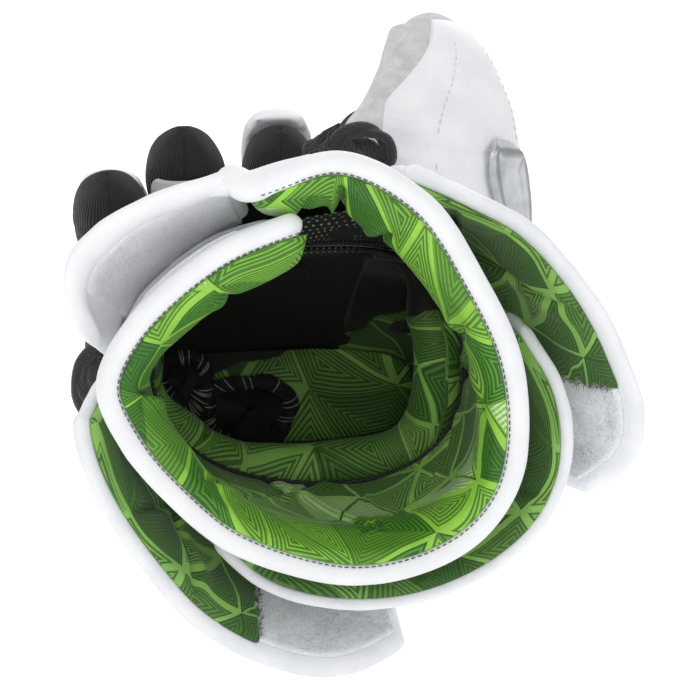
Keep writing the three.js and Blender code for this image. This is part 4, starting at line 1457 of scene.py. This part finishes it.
class Digit:
    """A jointed stall. t runs in mm from the first joint along its palm side, negative inside the hand."""

    def __init__(self, joints, axis, first, bends, lengths, bodies):
        self.joints, self.x, self.first = joints, unit(axis), unit(first)
        self.angles = np.cumsum(bends)
        self.lengths, self.bodies = lengths, bodies
        self.starts = np.concatenate(((0,), np.cumsum(lengths)))
        self.lean = 0.0  # mm that the tip is pushed sideways

    def pushed(self, t):
        return self.lean * ease(t, 4, self.starts[-1])

    def turned(self, angle):
        """Directions along the digit and out of its palm side, turned by an angle about its joints' axis."""
        up = np.cross(self.x, self.first)
        c, s = np.cos(angle)[..., None], np.sin(angle)[..., None]
        return self.first * c + up * s, up * c - self.first * s

    def frame(self, t, soft=7.0):
        t = np.asarray(t, float)
        angle = np.zeros_like(t)
        before = 0.0
        for k, bend in enumerate(self.angles):
            angle = angle + (bend - before) * ease(t, self.starts[k] - soft, self.starts[k] + soft)
            before = bend
        y, z = self.turned(angle)
        place = self.joints[0] + np.minimum(t, 0)[..., None] * self.first
        for k in range(len(self.lengths)):
            along, _ = self.turned(np.array(self.angles[k]))
            within = np.clip(t - self.starts[k], 0, self.lengths[k] if k < len(self.lengths) - 1 else 1e9)
            place = place + within[..., None] * along
        return place, y, z

    def around(self, t, phi, half, depth, lift=0.0):
        """A point on the digit's skin: phi 0 is the palm side and pi the back."""
        t, phi, half, depth, lift = np.broadcast_arrays(np.asarray(t, float), phi, half, depth, lift)
        place, _, z = self.frame(t)
        c, s, r = rounded(phi, 2.4)
        side = (half * r * c + self.pushed(t))[..., None] * self.x
        up = (lift + depth / 2 * (r * s - 1))[..., None] * z
        return place + side + up


def finger(name):
    joints = [joint_at(f"{name}_{k}_bend") for k in ("knuckle", "middle", "tip")]
    axis = JOINTS[f"{name}_knuckle_bend"]["axis"]
    first = np.array((0.0, 1.0, 0.0))
    up = np.cross(unit(axis), first)

    def angle_of(step):
        return math.atan2(np.dot(step, up), np.dot(step, first))

    one, two = joints[1] - joints[0], joints[2] - joints[1]
    lengths = [np.linalg.norm(one), np.linalg.norm(two)]
    a1, a2 = angle_of(one), angle_of(two)
    a2 = a2 if a2 > 0 else a2 + 2 * math.pi
    digit = Digit(joints, axis, first, [a1, a2 - a1, TIP_BEND], lengths,
                  ["hand"] + [f"{name}_{k}" for k in SEGMENTS])
    tip_along, _ = digit.turned(np.array(digit.angles[2]))
    verts = to_glove(coordinates(frame["nodes"][f"{name}_tip_stall"].data))
    digit.lengths.append(float(((verts - joints[2]) @ tip_along).max()))
    digit.starts = np.concatenate(((0,), np.cumsum(digit.lengths)))
    return digit


def swellings(digit, t):
    """0 at the joints and 1 halfway between them."""
    out = np.zeros_like(t)
    for k in range(len(digit.lengths)):
        share = (t - digit.starts[k]) / digit.lengths[k]
        inside = (share > 0) & (share < 1)
        out = np.where(inside, np.sin(np.clip(share, 0, 1) * math.pi) ** 0.7, out)
    return out


def sleeve(digit, t0, t1, half, depth, closed_end, seed, fat, ruck=1.0):
    """Part of a stall's knitted skin, from t0 to t1, as a double wall. fat swells it between the joints,
    and ruck is how deep it creases at them."""
    phi = full_turn(72)
    t = np.linspace(t0, t1, max(8, int((t1 - t0) / 1.1)))
    if closed_end:
        t = t0 + (t1 - t0) * (1 - (1 - np.linspace(0, 1, len(t))) ** 1.6)
    phi_grid, t_grid = grid(phi, t)
    taper = 1.0
    if closed_end:
        share = np.clip((t_grid - t0) / (t1 - t0), 0, 1)
        taper = np.maximum(1 - share ** 4.5, 0.0) ** 0.5
        taper = np.where(share >= 0.9999, 0.004, taper)
    bulge = swellings(digit, t_grid)
    place = digit.around(t_grid, phi_grid, half, depth)
    wave = 0.55 * noise(place, 11, seed) + 0.3 * noise(place, 5, seed + 1)
    palm_side = np.clip(np.cos(phi_grid), 0, 1)
    creases = 0
    for k in range(len(digit.lengths)):
        for off, width, deep in ((0, 1.5, 1.5), (-4.5, 1.2, 0.8), (4.5, 1.2, 0.8), (8.5, 1.1, 0.45)):
            at_joint = bell(t_grid, digit.starts[k] + off, width)
            creases = creases - ruck * deep * at_joint * (0.35 + 0.65 * palm_side)
    grow = fat * bulge + wave + creases

    def layer(wall):
        return digit.around(t_grid, phi_grid, (half + grow - wall) * taper,
                            (depth + 2 * grow - 2 * wall) * taper,
                            lift=grow - wall + (taper - 1) * depth / 2 * 0.92)

    around = phi_grid * (half + depth / 2) / 2
    return double_wall(layer(0.0), layer(KNIT_WALL), np.stack((around, t_grid), -1))


def blend_over(obj, digit, k, reach=8.0):
    """Bakes obj's transform through bend(); obj is not bent across the digit's joint k."""
    t = digit.starts[k]
    start, _, _ = digit.frame(np.array(t - reach))
    end, _, _ = digit.frame(np.array(t + reach))
    bend(obj, digit.bodies[k], digit.bodies[k + 1], start, end)


def patch(digit, t0, t1, spread, half, depth, thick, seed, fat):
    """A thin patch on the skin of a stall, `spread` radians to each side of its palm side's middle."""
    u, v = grid(spaced(1.0, 0.05, 0.08), spaced(1.0, 0.06, 0.1))
    corner = 1 - 0.22 * np.abs(2 * v - 1) ** 4
    phi = spread * (2 * u - 1) * corner
    t = t0 + (t1 - t0) * v
    wide, tall = 2 * spread * half, t1 - t0
    h = both_ends(u, wide, thick) * both_ends(v, tall, thick)
    bulge = fat * swellings(digit, t)
    rough = 0.3 * noise(digit.around(t, phi, half, depth), 8, seed)
    grow = bulge + rough

    def layer(out):
        return digit.around(t, phi, half + grow + out, depth + 2 * (grow + out), lift=grow + out)

    return skin(layer(thick * h), layer(-0.8 * h - 0.1), np.stack((u * wide, v * tall), -1))


def back_pad(digit, k, t0, t1, half, depth, pad, flank, sides, tip, lean):
    """The foam cushion over the back of one segment, `sides` radians to each side of its middle."""
    u, v = grid(spaced(1.0, 0.045, 0.13), spaced(1.0, 0.07, 0.2))
    phi = math.pi + sides * (2 * u - 1) + lean
    start = digit.starts[k]
    t = t0 + (t1 - t0) * v
    taper = np.ones_like(v)
    outer_taper = np.ones_like(v)
    if tip:
        taper = np.sqrt(np.maximum(1 - (v / 1.08) ** 5, 0.02))
        outer_taper = 1 - 0.4 * v ** 3
    wide = sides * (half + depth / 2 + pad)
    h = both_ends(u, wide, 5.0) * both_ends(v, t1 - t0, 5.0)
    along, out = digit.turned(np.array(digit.angles[k]))
    c, s, r = rounded(phi - math.pi, 2.5)

    def layer(share):
        wide_half = half * taper + 0.6 + flank * outer_taper * share
        deep_half = depth / 2 * taper + 0.6 + pad * outer_taper * share
        x = wide_half * r * c + digit.pushed(t)
        back = (-depth / 2 - deep_half * r * s)[..., None]
        return digit.joints[k] + ((t - start)[..., None] * along + x[..., None] * digit.x + back * out)

    return skin(layer(h), layer(np.zeros_like(h)), np.stack((u * wide, v * (t1 - t0)), -1))


digits = {name: finger(name) for name in ("little", "ring", "middle", "index")}
# For each finger: how far round its pads reach, their lean to the little-finger side, how far short of the
# stall's end they stop, how much longer and wider its stall is, how far its tip is pushed towards the thumb,
# and whether the palm side of its tip has suede.
LOOKS = {"little": (1.12, 0.25, 7.0, 0.5, 0.8, 2.0, False), "ring": (0.98, 0.0, 10.0, 4.0, 1.8, -2.2, True),
         "middle": (1.12, 0.0, -1.2, 1.0, 0.8, 0.0, False), "index": (0.98, 0.0, 14.0, 8.5, 0.5, -2.2, False)}
finger_pads = []
for number, (name, digit) in enumerate(digits.items()):
    reach_round, lean, bare, longer, wider, digit.lean, suede_tip = LOOKS[name]
    half, depth = STALL_HALF + wider, STALL_DEPTH + 3.0
    l1, l2, l3 = digit.lengths
    end = l1 + l2 + l3 + longer
    cuts = (-13.0, l1 / 2, l1 + l2 / 2, end + 0.2)
    for k in range(3):
        shape = sleeve(digit, cuts[k], cuts[k + 1], half, depth, k == 2, 100 + 10 * number, 1.1)
        obj = piece(f"{name}_{SEGMENTS[k]}_sleeve", shape, BLACK_RIB, None,
                    [f"{name}_{SEGMENTS[k]}_stall"])
        blend_over(obj, digit, k)
    patches = [(0, 0.62, 5.0, digit.starts[1] - 7.0)]
    if suede_tip:
        patches.append((2, 0.95, l1 + l2 + 1.0, end - 13.5))
    for k, spread, t0, t1 in patches:
        shape = patch(digit, t0, t1, spread, half, depth, 0.9, 140 + number, 1.1)
        piece(f"{name}_{SEGMENTS[k]}_suede", shape, FINGER_SUEDE, digit.bodies[k + 1], ())
    for k in range(3):
        t0 = digit.starts[k] + 1.6
        t1 = end - bare if k == 2 else digit.starts[k + 1] - 1.0
        shape = back_pad(digit, k, t0, t1, STALL_HALF + 0.9, STALL_DEPTH + 0.6, PAD_THICK - 1.6, 1.2,
                         reach_round, k == 2, lean)
        obj = add_mesh(f"{name}_{SEGMENTS[k]}_cushion", *shape)
        finger_pads.append((obj, digit.bodies[k + 1], f"{name}_{SEGMENTS[k]}_pad"))

inflated([entry[0] for entry in finger_pads], 3.4, 1.6)
for obj, body, node in finger_pads:
    fitted(finish_mesh(obj, WHITE_LEATHER), body, [node])


# ---- Thumb ----

THUMB_HALF, THUMB_DEPTH = 13.0, 24.0
THUMB_AXIS = unit(JOINTS["thumb_open"]["axis"])
thumb_base, thumb_tip = joint_at("thumb_open"), joint_at("thumb_tip_open")
THUMB_LENGTHS, THUMB_TIP_BEND = (42.0, 45.0), math.radians(10)
thumb_x = -THUMB_AXIS
reach = thumb_tip - thumb_base
reach = unit(reach - thumb_x * np.dot(reach, thumb_x))
lean = math.atan2(THUMB_DEPTH / 2, THUMB_LENGTHS[0])
thumb_y = math.cos(lean) * reach - math.sin(lean) * np.cross(thumb_x, reach)
thumb_z = np.cross(thumb_x, thumb_y)
thumb = Digit([thumb_base + thumb_z * THUMB_DEPTH / 2, thumb_tip], thumb_x, thumb_y, [0.0, THUMB_TIP_BEND],
              list(THUMB_LENGTHS), ["hand", "thumb_base", "thumb_tip"])
THUMB_END = sum(THUMB_LENGTHS)
FIN_START, FIN_LENGTH, FIN_HALF_ANGLE = 1.5, THUMB_END - 1.7, 1.72


def fin_size(t):
    """Width and depth of the white fin beyond the thumb's stall, and of the stall itself, at t."""
    share = np.clip((t - THUMB_LENGTHS[0]) / THUMB_LENGTHS[1], 0, 1)
    stall = np.sqrt(np.maximum(1 - (share / 1.08) ** 3, 0.03))
    beyond = 1 - 0.75 * share ** 1.5
    return stall, beyond


def spread(t):
    """1 where the thumb's padding spreads towards the fingers, above its root."""
    return (1 - ease(t, 40, 78)) * ease(t, -2, 36)


def thumb_section(t, phi, side_extra, back_extra):
    """A point on the back of the thumb, that far beyond its stall to the sides and the back."""
    place, _, z = thumb.frame(t, soft=12.0)
    stall, beyond = fin_size(t)
    c, s, r = rounded(phi - math.pi, 2.5)
    wide = np.where(c > 0, 13.5 * spread(t), 1.5 * (1 - ease(t, 40, 80)))
    x = (THUMB_HALF * stall + 0.4 + side_extra * beyond + wide) * r * c
    back = (THUMB_DEPTH / 2 * stall + 0.4 + back_extra * beyond) * r * s
    return place + x[..., None] * thumb.x - (THUMB_DEPTH / 2 + back)[..., None] * z


def fin_layers(u, v):
    """Outer and inner points of the white leather over the thumb's back, u across it and v along it."""
    toward_fingers = np.where(u > 0.5, 0.95 * ease(v, 0.45, 1.0), 0)
    phi = math.pi + (FIN_HALF_ANGLE - toward_fingers) * (2 * u - 1)
    t = FIN_START + FIN_LENGTH * v
    wide = FIN_HALF_ANGLE * 2 * 30
    h = both_ends(u, wide, 6.0) * both_ends(v, THUMB_END, 6.0)
    rough = thumb_section(t, phi, 12.0, 13.0)
    soft = 0.9 * noise(rough, 19, 161) + 0.45 * noise(rough, 8, 162)
    crease = -1.1 * bell(t - 0.12 * (u - 0.5) * 60, 41, 1.8) - 0.8 * bell(t + 14 * (u - 0.5), 24, 1.3)
    crease = crease - 0.9 * bell(u, 0.30, 0.011) - 0.9 * bell(u, 0.70, 0.011)
    grow = (soft + crease) * h
    front = thumb_section(t, phi, 11.2 * h + grow, 12.2 * h + grow)
    back = thumb_section(t, phi, 0.2 * h, 0.2 * h)
    return front, back, np.stack((u * wide, t), -1)


fin = skin(*fin_layers(*grid(spaced(1.0, 0.022, 0.07), spaced(1.0, 0.022, 0.09))))
obj = piece("thumb_fin_cover", fin, WHITE_LEATHER, None, ["thumb_base_pad", "thumb_tip_pad"])
blend_over(obj, thumb, 1, 12.0)

# Suede over the palm side of the thumb, wide at its root on the side of the fingers.
u, v = grid(spaced(1.0, 0.03, 0.06), spaced(1.0, 0.025, 0.06))
t = -3.0 + (THUMB_END + 2.6) * v
stall, beyond = fin_size(t)
phi = (2 * u - 1) * np.where(u > 0.5, 1.85 + 0.75 * ease(u, 0.6, 1.0), 1.85)
c, s, r = rounded(phi, 2.3)
toward_fingers = 10.5 + 20.5 * spread(t)
half_width = THUMB_HALF * stall + np.where(c > 0, toward_fingers * beyond + 1.0, 9.0 * beyond)
place, _, z = thumb.frame(t, soft=12.0)
rough = place + (half_width * c)[..., None] * thumb.x
wrinkle = (0.8 * noise(rough, 12, 171) + 0.4 * noise(rough, 5, 172) - 1.0 * bell(t, 42, 1.8)
           - 0.6 * bell(t, 30, 1.4))
h = both_ends(u, 75, 1.6) * both_ends(v, THUMB_END, 1.6)


def thumb_palm(out):
    x = (half_width + out) * r * c
    up = -THUMB_DEPTH / 2 * (0.9 * stall + 0.1) + (THUMB_DEPTH / 2 * stall + 1.2 + out) * r * s
    return place + x[..., None] * thumb.x + up[..., None] * z


shape = skin(thumb_palm((0.9 + wrinkle) * h), thumb_palm(-1.0 * h), np.stack((u * 75, t), -1))
obj = piece("thumb_palm_suede", shape, PALM_SUEDE, None, ["thumb_grip"])
blend_over(obj, thumb, 1, 12.0)

shape = sleeve(thumb, 6.0, THUMB_END - 12.0, THUMB_HALF - 1.0, THUMB_DEPTH - 1.0, True, 181, 0.3, ruck=0.3)
obj = piece("thumb_inner_sleeve", shape, BLACK_RIB, None, ["thumb_base_stall", "thumb_tip_stall"])
blend_over(obj, thumb, 1, 12.0)
shape = sleeve(thumb, THUMB_END - 24.0, THUMB_END + 3.4, THUMB_HALF - 0.6, THUMB_DEPTH - 1.2, closed_end=True,
               seed=187, fat=0.0, ruck=0.0)
piece("thumb_tip_suede", shape, PALM_SUEDE, "thumb_tip", ())

# The knit fold round the thumb's root.
phi = full_turn(80)
t = np.linspace(-17.0, 9.0, 26)
phi_grid, t_grid = grid(phi, t)
flare = 17.5 - 3.0 * ease(t_grid, -17, 9)
place = thumb.around(t_grid, phi_grid, flare, 24.0)
grow = 0.8 * noise(place, 9, 185) - 0.9 * bell(t_grid, -2, 1.5) - 0.7 * bell(t_grid, -7, 1.5)
outer = thumb.around(t_grid, phi_grid, flare + grow, 24.0 + 2 * grow, lift=grow)
inner = thumb.around(t_grid, phi_grid, flare + grow - 1.2, 21.6 + 2 * grow, lift=grow - 1.2)
obj = piece("thumb_root_gusset", double_wall(outer, inner, np.stack((phi_grid * 16, t_grid), -1)), BLACK_RIB)
blend_over(obj, thumb, 0, 7.0)

# The clear guard over the outside of the thumb's base.
u, v = grid(spaced(1.0, 0.03, 0.06), spaced(1.0, 0.03, 0.06))
t = 8.0 + 37.0 * v
phi = math.pi - 0.66 + 0.56 * v + 0.36 * (1 - np.abs(2 * v - 1) ** 2.6) ** 0.5 * (2 * u - 1)
edge_share = np.maximum(np.abs(2 * u - 1), np.abs(2 * v - 1))
h = crown((1 - edge_share) * 12, 1.4)
ridge = 2.3 * bell(edge_share, 0.80, 0.11) - 0.5 * bell(edge_share, 0, 0.55) + 0.25 * noise(
    np.stack((phi * 20, t, 0 * t), -1), 5, 176)
front = thumb_section(t, phi, 12.9 + (0.9 + ridge) * h, 13.6 + (0.9 + ridge) * h)
back = thumb_section(t, phi, 12.9 - 1.6 * h, 13.6 - 1.6 * h)
piece("thumb_guard_moulding", skin(front, back, np.stack((u * 24, v * 33), -1)), GUARD, "thumb_base",
      ["thumb_guard"])

# Seam lines on the thumb, with a gap where it bends.
joint = (THUMB_LENGTHS[0] - FIN_START) / FIN_LENGTH
for row, share in enumerate((0.322, 0.678)):
    v = np.linspace(0.08, 0.9, 200)
    line, under, _ = fin_layers(np.full_like(v, share), v)
    out = unit(line - under)
    for body, mask in (("thumb_base", v < joint - 0.035), ("thumb_tip", v > joint + 0.035)):
        piece(f"{body}_seam_{row + 1}", stitches(line[mask], out[mask], 3.0, 2.1, 0.26, 0.05), WHITE_THREAD,
              body)


# ---- Wrist gusset, laces ----

gusset_angle = full_turn(140)
near_ring = COLLAR.place(np.linspace(0.03, 0.97, 140), 50.0, 1.2)
hand_ring = hand_point(gusset_angle, 0.06, WALL + 0.3)
order = np.argmin(np.linalg.norm(hand_ring[:, None, [0, 2]] - near_ring[None, :, [0, 2]], axis=2), axis=1)
near_match = near_ring[order].copy()
for _ in range(12):
    near_match = (near_match + np.roll(near_match, 1, 0) + np.roll(near_match, -1, 0)) / 3
share = np.linspace(0, 1, 22)[None, :, None]
wall = near_match[:, None] * (1 - share) + hand_ring[:, None] * share
outward = unit(wall - np.array((4.0, 0, -20.0)) * (1, 0, 1) - wall * (0, 1, 0))
pleat = 0.9 * np.sin(share * math.pi * 5) + 0.7 * noise(wall, 9, 191)[..., None]
outer = wall + outward * (1.0 + pleat) * np.sin(share * math.pi) ** 0.4
inner = wall + outward * (pleat - 0.6) * np.sin(share * math.pi) ** 0.4
run = np.cumsum(np.linalg.norm(np.diff(wall[:, 11], axis=0, prepend=wall[-1:, 11]), axis=1))
depth = np.cumsum(np.linalg.norm(np.diff(wall, axis=1, prepend=wall[:, :1]), axis=2), 1)
shape = double_wall(outer, inner, np.stack((np.broadcast_to(run[:, None], depth.shape), depth), -1))
obj = piece("wrist_gusset", shape, BLACK_MESH)
bend(obj, "hand", "collar", (0, 65, -20), (0, 54, -20))


def reach_of(points, angles, centre):
    """Distance of a line of [x, z] points from a centre at each angle, 0 where the line doesn't pass."""
    off = points - centre
    bearing, far = np.arctan2(off[:, 1], off[:, 0]), np.linalg.norm(off, axis=1)
    out = np.zeros(len(angles))
    for k, angle in enumerate(angles):
        gap = np.abs((bearing - angle + math.pi) % (2 * math.pi) - math.pi)
        near = gap < 0.05
        if near.any():
            out[k] = far[near].max()
    return out


def wrist_shroud():
    """The soft funnel from the panels' roots down to the hand, behind every gap between them."""
    centre = np.array((6.0, -20.0))
    angles = full_turn(180)
    s = np.linspace(0, 1, 400)
    reach = np.zeros(len(angles))
    for strip, depth in ((COLLAR, -0.6), (BACK, 2.4), (THUMB_WING, 2.4), (LITTLE_WING, 2.4)):
        line = strip.place(s, 57.0, depth)[:, [0, 2]]
        reach = np.maximum(reach, reach_of(line, angles, centre))
    for _ in range(10):
        reach = np.maximum(reach, (np.roll(reach, 1) + reach + np.roll(reach, -1)) / 3)
    direction = np.stack((np.cos(angles), 0 * angles, np.sin(angles)), -1)
    near = np.array((centre[0], 56.0, centre[1])) + direction * reach[:, None]
    far = hand_point(math.pi / 2 - angles, 0.12, WALL + 0.9)
    share = np.linspace(0, 1, 26)[None, :, None]
    wall = near[:, None] * (1 - share) + far[:, None] * share
    wall = wall + direction[:, None] * (2.2 * np.sin(share * math.pi))
    rough = 0.9 * noise(wall, 13, 195) + 0.4 * noise(wall, 5, 196)
    rough = rough * np.sin(share[..., 0] * math.pi) ** 0.5
    outer = wall + direction[:, None] * (0.7 + rough)[..., None]
    inner = wall + direction[:, None] * (rough - 0.7)[..., None]
    inner[:, [0, -1]] = outer[:, [0, -1]]
    return outer, inner, np.stack(np.broadcast_arrays(angles[:, None] * 60, share[..., 0] * 34), -1)


outer, inner, uv = wrist_shroud()
for name, front, back, material in (
        ("wrist_shroud_leather", outer, (outer + inner) / 2, WHITE_LEATHER),
        ("wrist_shroud_lining", (outer + 2 * inner) / 3, inner, BLACK_RIB)):
    obj = piece(name, double_wall(front, back, uv), material)
    bend(obj, "hand", "collar", (0, 80, -20), (0, 58, -20))


def lace(name, points, radius, replaced, seed):
    """A tied bundle: parallel cords that wander about one path, a binding turn, and frayed ends."""
    rng = np.random.RandomState(seed)
    path = spline(points, 0.9)
    parts = []
    middle = path.mean(0)
    for k in range(6):
        turn = 2 * math.pi * k / 6
        drift = np.stack([noise(path + 40 * k, 12, seed + j) for j in range(3)], -1)
        offset = np.array((math.cos(turn), 0.5 * math.sin(turn), math.sin(turn))) * radius * 0.62
        cord = middle + (path - middle) * (1.0 - 0.13 * k * (k > 2)) + offset + 1.1 * drift
        parts.append(tube(cord, radius * 0.56, 10))
    piece(name, join(parts), CORD, "hand", [replaced])
    spin, up = grid(full_turn(40), np.linspace(-1, 1, 24))
    wide = np.sqrt(np.maximum(1 - up ** 2, 0))
    knot = np.stack((wide * np.cos(spin), wide * np.sin(spin), up), -1)
    knot = knot * np.ptp(path, axis=0) * (0.45, 0.6, 0.45)
    knot = knot * (1 + 0.22 * noise(knot, 6, seed + 5) + 0.10 * np.sin(spin * 7 + up * 5))[..., None]
    uv = np.stack((spin * 8, up * 9), -1)
    piece(name + "_knot", double_wall(middle + knot, middle + knot * 0.8, uv), CORD, "hand")
    ends = []
    count = 46
    for end, before in ((path[0], path[3]), (path[-1], path[-4])):
        splay = unit(unit(end - before) + 0.5 * rng.randn(count, 3))
        ends.append(spikes(end + 0.8 * rng.randn(count, 3), splay, rng.uniform(2.0, 6.0, count), 0.12, seed))
    piece(name + "_frayed_ends", join(ends), BLACK_THREAD, "hand")


lace("lace_bundle_thumb_side",
     [(6, 86, 12), (9, 82, 30), (12, 80, 44), (19, 78, 53), (30, 78, 52), (33, 80, 44), (25, 83, 40),
      (19, 85, 31), (20, 88, 14)], 2.7, "lace_thumb_side", 201)
lace("lace_bundle_little_side",
     [(-50, 84, -36), (-59, 81, -38), (-64, 80, -36), (-66, 79, -28), (-65, 79, -19), (-60, 81, -15),
      (-57, 84, -20), (-51, 88, -26)], 2.4, "lace_little_side", 207)


# ---- Floor, light and camera ----

TARGET = to_row((10.06, -0.29, 4.15))
AZIMUTH, ELEVATION, DISTANCE, LENS = math.radians(-8), math.radians(15), 0.620, 111.6


def sweep():
    """A floor that curves up into a wall behind the glove."""
    profile = [(-3.0, 0.0), (1.6, 0.0)]
    for k in range(1, 17):
        turn = k / 16 * math.pi / 2
        profile.append((1.6 + 1.2 * math.sin(turn), 1.2 - 1.2 * math.cos(turn)))
    profile.append((2.8, 4.5))
    mesh = bpy.data.meshes.new("studio_sweep")
    verts = [(x, y, z - 0.0005) for y, z in profile for x in (-5.0, 5.0)]
    faces = [(2 * k, 2 * k + 1, 2 * k + 3, 2 * k + 2) for k in range(len(profile) - 1)]
    mesh.from_pydata(verts, [], faces)
    mesh.polygons.foreach_set("use_smooth", [True] * len(faces))
    obj = bpy.data.objects.new("studio_sweep", mesh)
    bpy.context.scene.collection.objects.link(obj)
    material = bpy.data.materials.new("studio_paper")
    material.use_nodes = True
    surface = material.node_tree.nodes["Principled BSDF"]
    surface.inputs["Base Color"].default_value = (0.93, 0.93, 0.93, 1)
    surface.inputs["Roughness"].default_value = 0.9
    surface.inputs["Emission Color"].default_value = (1, 1, 1, 1)
    surface.inputs["Emission Strength"].default_value = 0.35
    mesh.materials.append(material)


def area_light(name, place, aim_height, size, power):
    """A round light of `size` metres that faces a point on the glove's upright axis."""
    aim = (0, 0, aim_height)
    data = bpy.data.lights.new(name, "AREA")
    data.shape, data.size, data.energy = "DISK", size, power
    obj = bpy.data.objects.new(name, data)
    obj.location = place
    obj.rotation_euler = (Vector(aim) - Vector(place)).to_track_quat("-Z", "Y").to_euler()
    bpy.context.scene.collection.objects.link(obj)


sweep()
area_light("key", (-0.7, -1.2, 1.4), 0.08, 0.9, 8.2)
area_light("fill", (1.3, -0.9, 0.7), 0.08, 1.2, 3.0)
area_light("top", (0.1, 0.4, 1.8), 0.08, 1.2, 8.4)
area_light("rim", (0.7, 1.3, 1.0), 0.1, 0.9, 4)
area_light("opening", (-0.14, -1.25, 0.42), 0.1, 0.30, 1.5)
world = bpy.data.worlds.new("studio")
world.use_nodes = True
world.node_tree.nodes["Background"].inputs[0].default_value = (1, 1, 1, 1)
world.node_tree.nodes["Background"].inputs[1].default_value = 0.42
bpy.context.scene.world = world
bpy.context.scene.view_settings.view_transform = "Standard"

camera_data = bpy.data.cameras.new("camera")
camera_data.lens, camera_data.sensor_width = LENS, 36
camera = bpy.data.objects.new("camera", camera_data)
back = Vector((math.sin(AZIMUTH) * math.cos(ELEVATION), -math.cos(AZIMUTH) * math.cos(ELEVATION),
               math.sin(ELEVATION)))
camera.location = Vector(TARGET) + back * DISTANCE
camera.rotation_euler = back.to_track_quat("Z", "Y").to_euler()
bpy.context.scene.collection.objects.link(camera)
bpy.context.scene.camera = camera
